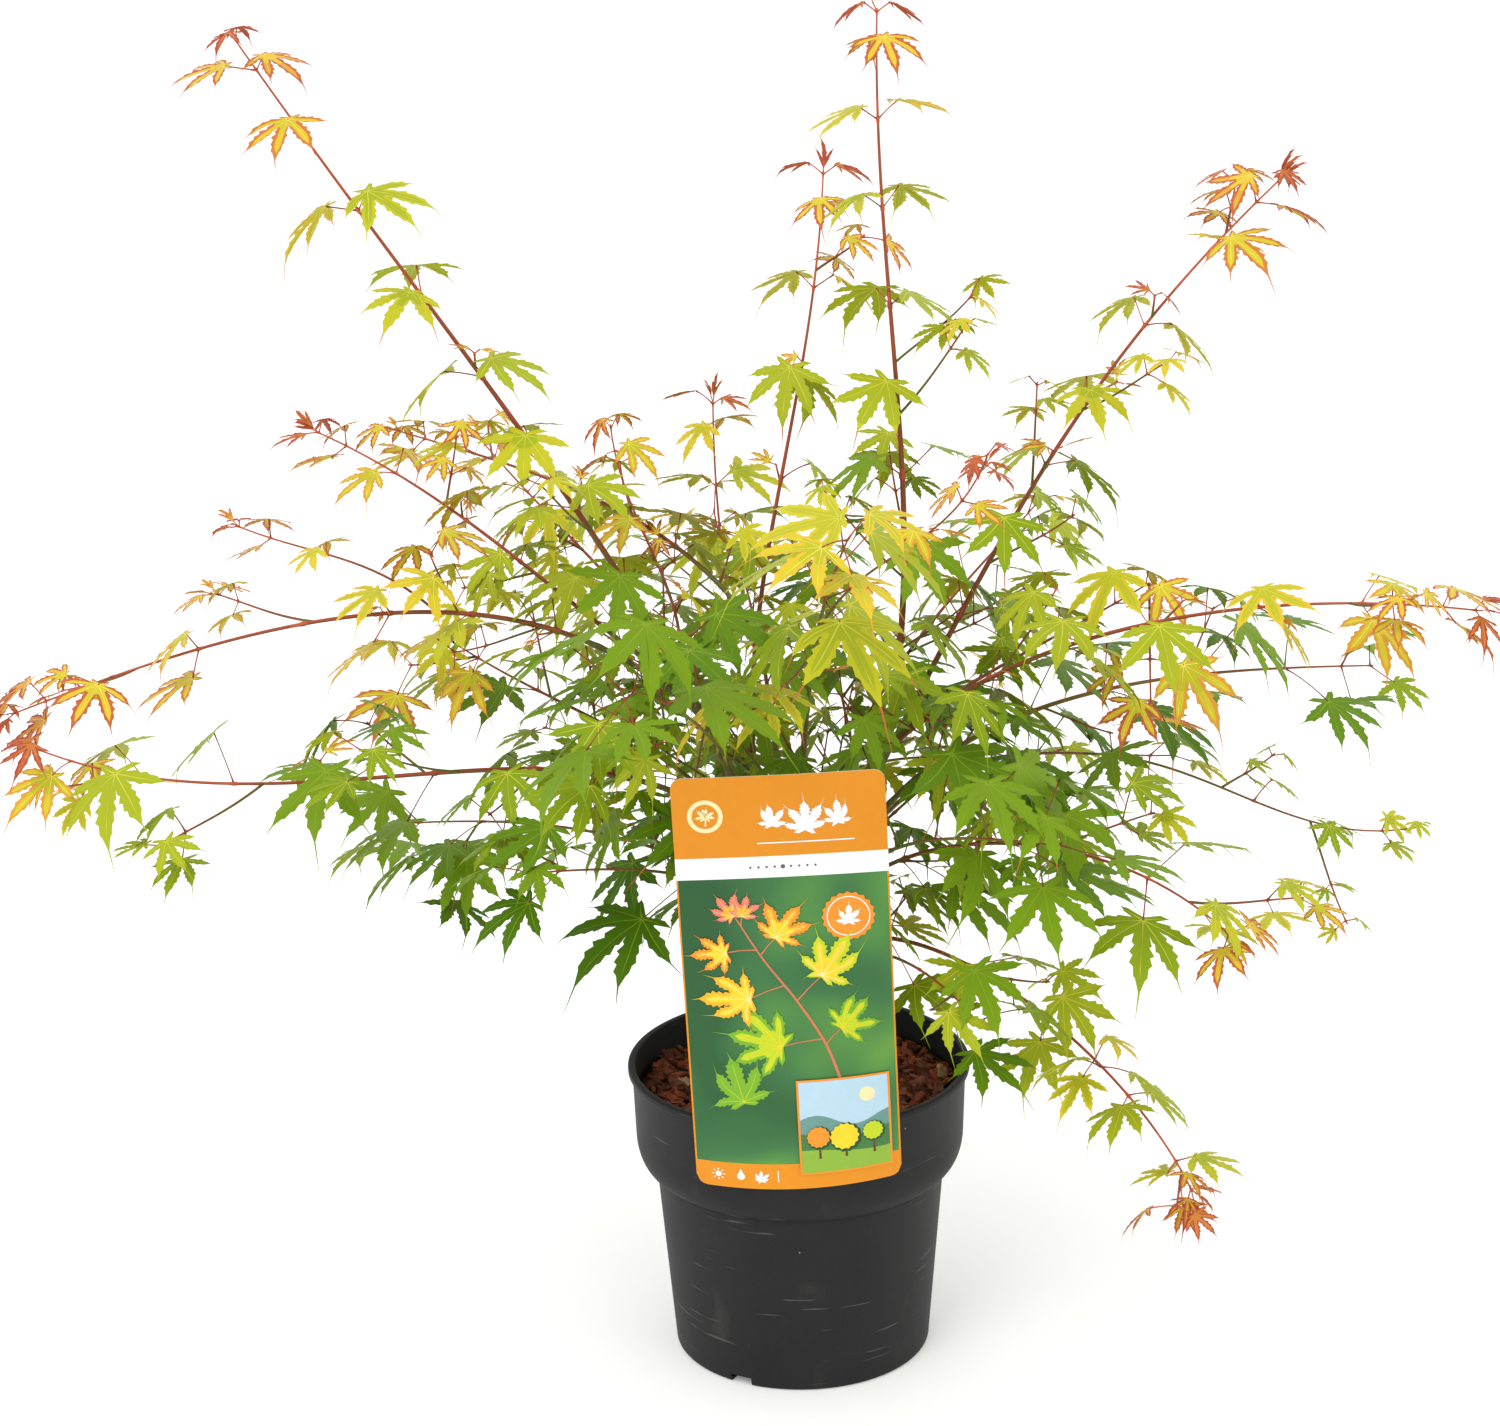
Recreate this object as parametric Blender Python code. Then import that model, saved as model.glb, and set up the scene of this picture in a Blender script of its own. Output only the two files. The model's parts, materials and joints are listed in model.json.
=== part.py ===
"""A young Japanese maple in its round nursery pot, with a plain picture card.

Metres, +Z up. The origin is the middle of the pot's flat underside, and -Y is the
side with the card. Every limb is a smooth curve given by where it leaves its parent
and where its tip is, and every leafy mass grows on from one limb by a seeded rule.
"""
import math
import random

import bmesh
import bpy
from mathutils import Matrix, Vector
from mathutils.bvhtree import BVHTree

# Gap between neighbouring solids
GAP = 0.0003

# Pot
POT_HEIGHT = 0.168
RIM_RADIUS = 0.095
LIP_HEIGHT = 0.004
LIP_OVERHANG = 0.0022
LIP_ROUNDING = 0.001
COLLAR_TAPER = 0.0014
COLLAR_FOOT_Z = 0.128
COLLAR_STEP_Z = 0.108
COLLAR_STEP_RADIUS = 0.0812
COLLAR_STEP_DROP = 0.0022
SHOULDER_STEPS = 3
BODY_TOP_RADIUS = 0.0802
BODY_FOOT_RADIUS = 0.0720
BODY_FOOT_Z = 0.0063
BASE_RADIUS = 0.0695
BASE_ROUND_RADIUS = 0.0715
BASE_ROUND_Z = 0.0016
POT_WALL = 0.0018
POT_STEPS = 32
DRAIN_COUNT = 3
DRAIN_FIRST_ANGLE = -115.0
DRAIN_WIDTH = 0.013
DRAIN_HEIGHT = 0.0036
DRAIN_DEPTH = 0.014

# Soil
SOIL_TOP_Z = 0.1535
SOIL_MOUND = 0.0015

# Picture card, bowed round the pot at its foot and flatter at its top. Each bow is in
# metres of depth for a metre across, squared
CARD_WIDTH = 0.110
CARD_HEIGHT = 0.238
CARD_FOOT_Z = 0.133
CARD_THICKNESS = 0.0007
CARD_CENTRE_X = -0.0005
CARD_TURN = 2.0
CARD_FRONT = 0.0968
CARD_BOW_FOOT = 4.6
CARD_BOW_TOP = 0.6
CARD_BOW_SHARE = 0.67
CARD_FOOT_TUCK = 0.0022
CARD_TUCK_SHARE = 0.14
CARD_LEAN = 0.016
CARD_LEAN_FROM = 0.15
CARD_CORNER = 0.002
CARD_GRID = 6

# Tongue that holds the card on the rim
TONGUE_WIDTH = 0.026
TONGUE_RISE = 0.016
TONGUE_THICKNESS = 0.0009
TONGUE_OVER_RIM = 0.0012
TONGUE_DROP = 0.004

# Trunk
TRUNK_FORK = (0.003, 0.0, 0.236)
TRUNK_BASE_RADIUS = 0.0085
TRUNK_FORK_RADIUS = 0.0052
TRUNK_ARRIVE = 86
TRUNK_SIDES = 12
TRUNK_RINGS = 9
ROOT_FLARE = 0.0060
FLARE_HEIGHT = 0.005
GRAFT_HEIGHT = 0.030
GRAFT_SPREAD = 0.007
GRAFT_BULGE = 0.0014

# Limbs
HANDLE = 0.38
TAPER_POWER = 0.85
LIMB_TIP_RADIUS = 0.0011
BOUGH_SIDES = 6
STEM_SIDES = 4
TWIG_SIDES = 3
RING_SPACING = 0.034
LEAST_BOUGH = 0.020
STEM_MARKS = 12
LENGTH_STEPS = 40
CLEAR_STEP = 0.0015
CLEAR_STUB = 0.006

# Leaves: half of an outline runs from the blade's base to its middle lobe's tip, as the
# angle from the middle rib in degrees and the reach as a share of the middle lobe
HALF_LEAF = ((158, 0.10), (92, 0.62), (64, 0.30), (43, 0.92), (20, 0.36))
HALF_LEAFLET = ((150, 0.12), (54, 0.80), (24, 0.34))
BLADE_SAG = 0.16
LEAF_THICKNESS = 0.0013
LEAF_CLEARANCE = 0.0005
LEAF_DROOP = (2, 34)
FULL_LEAF_DROOP = 12
LEAF_ROLL = 22
LEAF_SIZE_SPREAD = (0.86, 1.10)
PETIOLE_RADIUS = 0.0007
PETIOLE_SHARE = (0.55, 0.85)
PETIOLE_ROOT_SHARE = 0.6
PETIOLE_OUTWARD = 0.86
PETIOLE_FORWARD = 0.42
PETIOLE_LIFT = 0.22
LEAST_SPREAD = 0.3
TIPWARD_PULL = 0.4
OWN_SPACE_SLACK = 0.016

# Leaf pairs along a stem, the youngest at the tip being smaller and closer
INTERNODE = 0.049
INTERNODE_SPREAD = (0.88, 1.12)
TIP_INTERNODES = (0.34, 0.72)
TIP_SIZES = (0.62, 0.80, 0.95)
YOUNG_PAIRS = 2
FIRST_PAIR_DOWN = 0.002
LAST_PAIR_UP = 0.006
PAIR_TURN_SPREAD = 0.3
FIRST_TURN_SPREAD = 0.5

# Each limb: parent, place along it, heading and leaving angles in degrees, with the
# tip's reach from the pot's axis and height in millimetres. Side turns the heading
# in which it leaves, thick is its radius at the start in millimetres, and bare is the
# share of it that is a bough with no leaves.
LIMBS = {
    "leader_left": dict(parent="trunk", at=1.0, heading=-163, reach=279, height=744,
                        leave=72, arrive=58, thick=3.6, bare=0.30, blade=50),
    "leader_centre": dict(parent="trunk", at=0.96, heading=31, reach=57, height=740,
                          leave=52, arrive=88, thick=3.4, bare=0.26, blade=45),
    "middle_front": dict(parent="trunk", at=1.0, heading=-84, reach=251, height=531,
                         leave=96, arrive=27, thick=2.8, bare=0.40, blade=62),
    "right_long": dict(parent="trunk", at=0.93, heading=-21, reach=364, height=458,
                       leave=88, arrive=-2, thick=2.8, bare=0.30, blade=50),
    "second_centre": dict(parent="trunk", at=0.90, heading=80, reach=122, height=643,
                          leave=66, arrive=72, side=78, thick=2.6, bare=0.26, blade=44),
    "back_left": dict(parent="trunk", at=0.94, heading=128, reach=300, height=470,
                      leave=80, arrive=28, thick=2.4, bare=0.30, blade=50),
    "back_right": dict(parent="trunk", at=0.88, heading=60, reach=305, height=420,
                       leave=84, arrive=16, thick=2.4, bare=0.30, blade=52),
    "right_low": dict(parent="trunk", at=0.73, heading=-31, reach=258, height=288,
                      leave=82, arrive=-38, thick=2.2, bare=0.28, blade=56),
    "upper_right": dict(parent="leader_centre", at=0.20, heading=13, reach=271, height=644,
                        leave=62, arrive=42, thick=2.5, bare=0.14, blade=48),
    "right_mid": dict(parent="right_long", at=0.14, heading=1, reach=191, height=438,
                      leave=70, arrive=32, thick=2.2, bare=0.36, blade=52),
    "right_cut": dict(parent="leader_centre", at=0.05, heading=21, reach=357, height=352,
                      leave=66, arrive=-6, thick=2.6, bare=0.26, blade=56),
    "right_far": dict(parent="right_cut", at=0.1, heading=34, reach=270, height=292,
                      leave=40, arrive=-10, thick=2.0, bare=0.26, blade=56),
    "left_low": dict(parent="leader_left", at=0.06, heading=-167, reach=400, height=385,
                     leave=62, arrive=28, thick=2.6, bare=0.28, blade=50),
    "left_mid": dict(parent="leader_left", at=0.24, heading=-174, reach=414, height=389,
                     leave=47, arrive=-20, thick=2.4, bare=0.20, blade=48),
    "left_small": dict(parent="leader_left", at=0.27, heading=156, reach=290, height=502,
                       leave=25, arrive=14, thick=2.0, bare=0.18, blade=42),
    "left_upright": dict(parent="leader_left", at=0.29, heading=162, reach=100, height=523,
                         leave=108, arrive=84, thick=1.5, bare=0.0, blade=42),
    "left_arc": dict(parent="middle_front", at=0.34, heading=148, reach=261, height=497,
                     leave=72, arrive=6, thick=2.1, bare=0.34, blade=46),
    "left_far": dict(parent="second_centre", at=0.1, heading=155, reach=212, height=387,
                     leave=60, arrive=27, thick=2.2, bare=0.30, blade=54),
    "rear_upright": dict(parent="second_centre", at=0.22, heading=106, reach=155,
                         height=509, leave=48, arrive=96, thick=1.6, bare=0.0, blade=46),
    "front_left": dict(parent="trunk", at=0.88, heading=-113, reach=215, height=446,
                       leave=70, arrive=20, thick=2.0, bare=0.34, blade=62),
    "front_right": dict(parent="right_low", at=0.12, heading=-52, reach=215, height=352,
                        leave=60, arrive=12, thick=2.0, bare=0.32, blade=60),
    "droop_right": dict(parent="trunk", at=0.64, heading=-39, reach=258, height=160,
                        leave=72, arrive=-58, thick=2.0, bare=0.22, blade=44),
    "low_left": dict(parent="trunk", at=0.68, heading=-140, reach=180, height=322,
                     leave=78, arrive=10, thick=1.9, bare=0.28, blade=56),
    "low_right": dict(parent="trunk", at=0.55, heading=-57, reach=170, height=246,
                      leave=62, arrive=-24, thick=1.8, bare=0.20, blade=56),
    "back_centre": dict(parent="back_left", at=0.12, heading=97, reach=275, height=392,
                        leave=70, arrive=10, thick=2.2, bare=0.28, blade=52),
    "back_low": dict(parent="trunk", at=0.64, heading=112, reach=225, height=268,
                     leave=68, arrive=-16, thick=1.8, bare=0.0, blade=54),
    "left_back_low": dict(parent="trunk", at=0.70, heading=168, reach=235, height=292,
                          leave=74, arrive=-8, thick=1.8, bare=0.0, blade=54),
    "inner_left": dict(parent="leader_left", at=0.12, heading=-150, reach=105, height=392,
                       leave=60, arrive=60, thick=1.5, bare=0.0, blade=54),
    "inner_right": dict(parent="leader_centre", at=0.10, heading=-22, reach=112, height=388,
                        leave=50, arrive=62, thick=1.5, bare=0.0, blade=54),
    "inner_back": dict(parent="leader_centre", at=0.15, heading=82, reach=120, height=420,
                       leave=60, arrive=70, thick=1.5, bare=0.0, blade=54),
    "inner_front": dict(parent="middle_front", at=0.16, heading=-120, reach=84, height=404,
                        leave=60, arrive=60, thick=1.5, bare=0.0, blade=56),
}

# Side twigs on a mass's stem: leaf pairs from the tip down at which one grows
SIDE_TWIGS = {
    "leader_left": (4, 6, 7),
    "leader_centre": (5, 7),
    "upper_right": (4, 5),
    "right_long": (2, 5),
    "right_mid": (2,),
    "right_cut": (3, 5),
    "right_low": (1, 3),
    "droop_right": (2, 4),
    "left_low": (3, 5),
    "left_mid": (2, 4, 6),
    "left_small": (2, 4),
    "left_arc": (2, 4),
    "second_centre": (4, 6),
    "back_left": (2, 4),
    "back_centre": (2, 3),
    "back_right": (2, 4),
    "right_far": (2,),
    "left_far": (2,),
}
TWIG_REACH = 0.075
TWIG_REACH_SPREAD = (0.75, 1.20)
TWIG_OPENING = 48.0
TWIG_TURN_SPREAD = 0.4
TWIG_LIFT = 0.010
TWIG_RISE = 8
TWIG_ROOT_SHARE = 0.25
TWIG_BARE_SHARE = 0.4
TWIG_LEAF_SCALE = 0.8
TWIG_BELOW_PAIR = 0.012
TWIG_THICKENING = 1.15
THREAD_RADIUS = 0.0002
THREAD_RINGS = 10


def clear_scene():
    """Remove every object, so that the script can be run again."""
    for old in list(bpy.data.objects):
        bpy.data.objects.remove(old, do_unlink=True)


def plain_material(name, colour, roughness):
    """A Principled material of one colour, none of them metal."""
    material = bpy.data.materials.new(name)
    material.use_nodes = True
    shader = material.node_tree.nodes["Principled BSDF"]
    shader.inputs["Base Color"].default_value = (*colour, 1.0)
    shader.inputs["Roughness"].default_value = roughness
    shader.inputs["Metallic"].default_value = 0.0
    return material


def add_object(name, shape, material, smooth_angle=None):
    """Turn a bmesh into an object with outward faces, smooth up to an angle if given."""
    bmesh.ops.recalc_face_normals(shape, faces=shape.faces)
    mesh = bpy.data.meshes.new(name)
    shape.to_mesh(mesh)
    shape.free()
    if smooth_angle is not None:
        mesh.shade_smooth()
        mesh.set_sharp_from_angle(angle=math.radians(smooth_angle))
    obj = bpy.data.objects.new(name, mesh)
    bpy.context.scene.collection.objects.link(obj)
    mesh.materials.append(material)
    return obj


def turned(profile, steps):
    """A solid turned round Z from (radius, height) points that start and end on it."""
    shape = bmesh.new()
    points = [shape.verts.new((radius, 0.0, height)) for radius, height in profile]
    edges = [shape.edges.new(pair) for pair in zip(points, points[1:])]
    bmesh.ops.spin(shape, geom=points + edges, cent=(0, 0, 0), axis=(0, 0, 1),
                   angle=math.tau, steps=steps, use_merge=True)
    bmesh.ops.remove_doubles(shape, verts=shape.verts, dist=1e-6)
    return shape


def pot_outline():
    """The pot's outer wall from the middle of its base up to its rim."""
    collar_top = RIM_RADIUS - LIP_OVERHANG
    collar_foot = collar_top - COLLAR_TAPER
    bend = COLLAR_FOOT_Z - COLLAR_STEP_Z
    inward = collar_foot - COLLAR_STEP_RADIUS
    turns = [math.pi / 2 * k / SHOULDER_STEPS for k in range(SHOULDER_STEPS, -1, -1)]
    shoulder = [(collar_foot - inward * (1 - math.cos(turn)),
                 COLLAR_FOOT_Z - bend * math.sin(turn)) for turn in turns]
    step_foot = COLLAR_STEP_Z - COLLAR_STEP_DROP
    lip_foot = POT_HEIGHT - LIP_HEIGHT
    return ([(0.0, 0.0), (BASE_RADIUS, 0.0), (BASE_ROUND_RADIUS, BASE_ROUND_Z),
             (BODY_FOOT_RADIUS, BODY_FOOT_Z), (BODY_TOP_RADIUS, step_foot - GAP),
             (COLLAR_STEP_RADIUS, step_foot)]
            + shoulder
            + [(collar_top, lip_foot - LIP_ROUNDING), (RIM_RADIUS, lip_foot),
               (RIM_RADIUS, POT_HEIGHT - LIP_ROUNDING)])


def pot_cavity(inset):
    """The pot's inner wall from the rim down to the middle of its floor."""
    collar = RIM_RADIUS - LIP_OVERHANG - COLLAR_TAPER - POT_WALL - inset
    neck = BODY_TOP_RADIUS - POT_WALL - inset
    foot = BODY_FOOT_RADIUS - POT_WALL - inset
    floor = POT_WALL + inset
    return [(collar, COLLAR_FOOT_Z + inset), (neck, COLLAR_STEP_Z + inset),
            (foot, floor), (0.0, floor)]


def make_pot(material):
    """Thin-walled pot with a rolled lip, a deep collar and drain slots in its foot."""
    collar_inside = RIM_RADIUS - LIP_OVERHANG - POT_WALL
    rim_inside = [(RIM_RADIUS - LIP_ROUNDING, POT_HEIGHT), (collar_inside, POT_HEIGHT),
                  (collar_inside, POT_HEIGHT - LIP_HEIGHT)]
    profile = pot_outline() + rim_inside + pot_cavity(0.0)
    pot = add_object("pot", turned(profile, POT_STEPS), material, 35)
    for number in range(DRAIN_COUNT):
        angle = math.radians(DRAIN_FIRST_ANGLE + number * 360.0 / DRAIN_COUNT)
        bpy.ops.mesh.primitive_cube_add(size=1.0)
        cutter = bpy.context.object
        cutter.name = f"drain_cutter_{number + 1}"
        cutter.scale = (DRAIN_DEPTH * 2, DRAIN_WIDTH, DRAIN_HEIGHT * 2)
        middle = Vector((math.cos(angle), math.sin(angle), 0.0)) * BODY_FOOT_RADIUS
        cutter.location = middle
        cutter.rotation_euler = (0.0, 0.0, angle)
        cutter.hide_render = True
        cutter.display_type = "WIRE"
        cut = pot.modifiers.new(f"drain_{number + 1}", "BOOLEAN")
        cut.operation = "DIFFERENCE"
        cut.solver = "EXACT"
        cut.object = cutter
    return pot


def make_soil(material):
    """Plug of potting mix that fills the pot to just under its rim."""
    wall = RIM_RADIUS - LIP_OVERHANG - COLLAR_TAPER - POT_WALL - GAP
    top = [(0.0, SOIL_TOP_Z), (wall * 0.5, SOIL_TOP_Z + SOIL_MOUND * 0.4),
           (wall, SOIL_TOP_Z - SOIL_MOUND)]
    return add_object("soil", turned(top + pot_cavity(GAP), POT_STEPS), material)


def card_point(across, up, depth=0.0):
    """A point of the card: across and up its face in metres, depth behind it."""
    share = up / CARD_HEIGHT
    bow = CARD_BOW_FOOT + (CARD_BOW_TOP - CARD_BOW_FOOT) * min(1.0, share / CARD_BOW_SHARE)
    tuck = CARD_FOOT_TUCK * max(0.0, 1.0 - share / CARD_TUCK_SHARE)
    lean = CARD_LEAN * max(0.0, share - CARD_LEAN_FROM) ** 1.5
    turn = math.radians(CARD_TURN)
    x = CARD_CENTRE_X + across * math.cos(turn) - up * math.sin(turn)
    z = CARD_FOOT_Z + up * math.cos(turn) + across * math.sin(turn)
    y = -CARD_FRONT + tuck - lean + bow * across * across + depth
    return Vector((x, y, z))


def sheet(columns, rows, point):
    """A thin closed sheet from point(across_share, up_share, side)."""
    shape = bmesh.new()
    sides = [[[shape.verts.new(point(i / columns, j / rows, side))
               for i in range(columns + 1)] for j in range(rows + 1)] for side in (0, 1)]
    for grid in sides:
        for j in range(rows):
            for i in range(columns):
                shape.faces.new((grid[j][i], grid[j][i + 1], grid[j + 1][i + 1], grid[j + 1][i]))
    ring = ([(0, i) for i in range(columns)] + [(j, columns) for j in range(rows)]
            + [(rows, i) for i in range(columns, 0, -1)] + [(j, 0) for j in range(rows, 0, -1)])
    for (j, i), (l, k) in zip(ring, ring[1:] + ring[:1]):
        shape.faces.new((sides[0][j][i], sides[0][l][k], sides[1][l][k], sides[1][j][i]))
    return shape


def make_card(material):
    """Tall card that stands up behind the pot's front and hugs its collar."""
    def point(across_share, up_share, side):
        across = (across_share - 0.5) * CARD_WIDTH
        up = up_share * CARD_HEIGHT
        if up_share in (0.0, 1.0) and across_share in (0.0, 1.0):
            across -= math.copysign(CARD_CORNER, across)
            up += CARD_CORNER if up_share == 0.0 else -CARD_CORNER
        return card_point(across, up, side * CARD_THICKNESS)
    return add_object("plant_card", sheet(CARD_GRID, CARD_GRID, point), material, 30)


def make_tongue(material):
    """Strip behind the card that bends over the rim and down into the pot."""
    behind = GAP * 2 + CARD_THICKNESS
    inside = -(RIM_RADIUS - LIP_OVERHANG - POT_WALL - GAP * 4) + TONGUE_THICKNESS
    over = POT_HEIGHT + GAP + TONGUE_OVER_RIM
    up = over + GAP - CARD_FOOT_Z
    start = card_point(0.0, up + TONGUE_RISE, behind)
    bend = card_point(0.0, up, behind)
    path = [start, bend, Vector((bend.x, GAP * 2 - RIM_RADIUS, over)),
            Vector((bend.x, inside - TONGUE_THICKNESS, over - GAP)),
            Vector((bend.x, inside, POT_HEIGHT - TONGUE_DROP)),
            Vector((bend.x, inside, SOIL_TOP_Z + GAP * 4))]
    headings = [(path[min(k + 1, len(path) - 1)] - path[max(k - 1, 0)]).normalized()
                for k in range(len(path))]

    def point(across_share, up_share, side):
        k = round(up_share * (len(path) - 1))
        across = (across_share - 0.5) * TONGUE_WIDTH
        bow = CARD_BOW_FOOT * across * across
        off = Vector((0.0, -headings[k].z, headings[k].y)) * (side * TONGUE_THICKNESS)
        return path[k] + Vector((across, bow, 0.0)) + off
    return add_object("card_tongue", sheet(2, len(path) - 1, point), material)


class Limb:
    """A tapering curve that leaves one point at one slope and arrives at another."""

    def __init__(self, start, tip, leave, arrive, side, thick, thin):
        run = tip - start
        flat = Vector((run.x, run.y, 0.0)).normalized()
        leaving = Matrix.Rotation(math.radians(side), 3, "Z") @ flat
        reach = HANDLE * run.length
        up = Vector((0, 0, 1))
        first = leaving * math.cos(math.radians(leave)) + up * math.sin(math.radians(leave))
        last = flat * math.cos(math.radians(arrive)) + up * math.sin(math.radians(arrive))
        self.marks = (start, start + first * reach, tip - last * reach, tip)
        self.thick = thick
        self.thin = thin
        marks = [self.point(k / LENGTH_STEPS) for k in range(LENGTH_STEPS + 1)]
        self.length = sum((high - low).length for low, high in zip(marks, marks[1:]))

    def point(self, t):
        a, b, c, d = self.marks
        s = 1 - t
        return a * s ** 3 + b * (3 * t * s * s) + c * (3 * t * t * s) + d * t ** 3

    def heading(self, t):
        low, high = max(0.0, t - 0.01), min(1.0, t + 0.01)
        return (self.point(high) - self.point(low)).normalized()

    def radius(self, t):
        return self.thin + (self.thick - self.thin) * max(0.0, 1 - t) ** TAPER_POWER


class Trunk(Limb):
    """The short main stem, with a root flare and a graft swelling."""

    def __init__(self):
        start = Vector((0.0, 0.0, SOIL_TOP_Z + GAP))
        super().__init__(start, Vector(TRUNK_FORK), 90, TRUNK_ARRIVE, 0,
                         TRUNK_BASE_RADIUS, TRUNK_FORK_RADIUS)

    def radius(self, t):
        up = t * self.length
        flare = ROOT_FLARE * math.exp(-up / FLARE_HEIGHT)
        graft = GRAFT_BULGE * math.exp(-((up - GRAFT_HEIGHT) / GRAFT_SPREAD) ** 2)
        return super().radius(t) + flare + graft


def grow_limbs():
    """All limbs by name, each starting on its parent's curve."""
    limbs = {"trunk": Trunk()}
    for name, plan in LIMBS.items():
        heading = math.radians(plan["heading"])
        reach = plan["reach"] / 1000
        tip = Vector((reach * math.cos(heading), reach * math.sin(heading),
                      plan["height"] / 1000))
        start = limbs[plan["parent"]].point(plan["at"])
        limbs[name] = Limb(start, tip, plan["leave"], plan["arrive"], plan.get("side", 0),
                           plan["thick"] / 1000, LIMB_TIP_RADIUS)
    return limbs


def across_frame(heading):
    """Two directions across a heading, the first one level."""
    level = heading.cross(Vector((0, 0, 1)))
    if level.length < 0.05:
        level = Vector((1, 0, 0))
    level = (level - heading * level.dot(heading)).normalized()
    return level, level.cross(heading)


def tube(limb, first, last, sides, rings):
    """A closed tapering tube along part of a limb, as a bmesh."""
    shape = bmesh.new()
    loops = []
    level = None
    angles = [math.tau * n / sides for n in range(sides)]
    for k in range(rings + 1):
        t = first + (last - first) * k / rings
        heading = limb.heading(t)
        if level is None:
            level, rise = across_frame(heading)
        else:
            level = (level - heading * level.dot(heading)).normalized()
            rise = level.cross(heading)
        middle, radius = limb.point(t), limb.radius(t)
        loops.append([shape.verts.new(middle + radius * (level * math.cos(angle)
                                                         + rise * math.sin(angle)))
                      for angle in angles])
    for low, high in zip(loops, loops[1:]):
        for n in range(sides):
            m = (n + 1) % sides
            shape.faces.new((low[n], low[m], high[m], high[n]))
    shape.faces.new(loops[0][::-1])
    shape.faces.new(loops[-1])
    bmesh.ops.recalc_face_normals(shape, faces=shape.faces)
    return shape


def tree_of(shape):
    """A search tree of a shape's triangles."""
    bmesh.ops.triangulate(shape, faces=shape.faces)
    return BVHTree.FromBMesh(shape)


class Space:
    """What has been built so far, so that nothing new touches it."""

    def __init__(self):
        self.trees = []

    def add(self, shape):
        copy = shape.copy()
        self.trees.append(tree_of(copy))
        copy.free()

    def add_object(self, obj):
        self.trees.append(BVHTree.FromObject(obj, bpy.context.evaluated_depsgraph_get()))

    def is_clear(self, shape, clearance):
        """Whether a slightly swollen copy of the shape touches nothing built."""
        swollen = shape.copy()
        bmesh.ops.recalc_face_normals(swollen, faces=swollen.faces)
        swollen.normal_update()
        moves = [(v, v.normal * clearance) for v in swollen.verts]
        for vert, move in moves:
            vert.co += move
        tree = tree_of(swollen)
        swollen.free()
        return all(not tree.overlap(other) for other in self.trees)


def first_clear(limb, last, sides, space):
    """The place along a limb past which nothing built is in its way."""
    step = CLEAR_STEP / limb.length
    stub = CLEAR_STUB / limb.length
    t = last - stub
    while t > 0.0:
        piece = tube(limb, t, t + stub, sides, 1)
        clear = space.is_clear(piece, GAP)
        piece.free()
        if not clear:
            return t + step
        t -= step
    return 0.0


def ring_count(limb, first, last):
    """Rings of a tube that follow a limb's bend evenly."""
    return max(2, round(limb.length * (last - first) / RING_SPACING))


def leaf_shape(place, root, size, outline):
    """One closed leaf: a lobed blade at a place, and its petiole down to the root."""
    shape = bmesh.new()
    half = [(math.radians(angle), reach) for angle, reach in outline]
    rim = ([(-a, r) for a, r in half] + [(0.0, 1.0)] + [(a, r) for a, r in half[::-1]])
    edge = []
    for angle, reach in rim:
        tip = Vector((math.sin(angle), math.cos(angle), -BLADE_SAG * reach))
        edge.append(shape.verts.new(place @ (tip * reach * size)))
    half_thick = Vector((0, 0, LEAF_THICKNESS / 2))
    root_side = 1 if (place.inverted() @ root).z > 0 else -1
    far = shape.verts.new(place @ (half_thick * -root_side))
    near = shape.verts.new(place @ (half_thick * root_side))
    for low, high in zip(edge, edge[1:] + edge[:1]):
        shape.faces.new((far, low, high))
    for low, high in zip(edge, edge[1:]):
        shape.faces.new((near, high, low))
    joint = (edge[0], edge[-1], near)
    middle = sum((v.co for v in joint), Vector()) / 3
    along = (root - middle).normalized()
    spread = [v.co - middle - along * (v.co - middle).dot(along) for v in joint]
    foot = [shape.verts.new(root + s.normalized() * PETIOLE_RADIUS) for s in spread]
    for n in range(3):
        m = (n + 1) % 3
        shape.faces.new((joint[n], joint[m], foot[m], foot[n]))
    shape.faces.new(foot)
    bmesh.ops.recalc_face_normals(shape, faces=shape.faces)
    return shape


def leaf_pairs(limb, first, chance):
    """Places along a limb, from the tip down, at which it bears a pair of leaves."""
    span = limb.length * (1 - first)
    places = []
    down = FIRST_PAIR_DOWN
    while down < span - LAST_PAIR_UP:
        count = len(places)
        places.append(1 - down / limb.length)
        share = TIP_INTERNODES[count] if count < len(TIP_INTERNODES) else 1.0
        down += INTERNODE * share * chance.uniform(*INTERNODE_SPREAD)
    return places


def leaf_place(limb, t, turn, petiole, droop, roll):
    """The blade's frame and the point on the limb's axis that its petiole grows from."""
    heading = limb.heading(t)
    level, rise = across_frame(heading)
    outward = level * math.cos(turn) + rise * math.sin(turn)
    along = (outward * PETIOLE_OUTWARD + heading * PETIOLE_FORWARD
             + Vector((0, 0, PETIOLE_LIFT))).normalized()
    root = limb.point(t)
    base = root + along * petiole
    flat = Vector((along.x, along.y, 0.0))
    tipward = Vector((heading.x, heading.y, 0.0))
    if flat.length < LEAST_SPREAD and flat.dot(tipward) > -0.1 * flat.length:
        flat = flat + tipward * TIPWARD_PULL
    flat.normalize()
    axis = flat * math.cos(droop) + Vector((0, 0, -math.sin(droop)))
    across = axis.cross(Vector((0, 0, 1))).normalized()
    across = Matrix.Rotation(roll, 3, axis) @ across
    normal = across.cross(axis)
    place = Matrix((across, axis, normal)).transposed().to_4x4()
    place.translation = base
    return place, root


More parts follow.
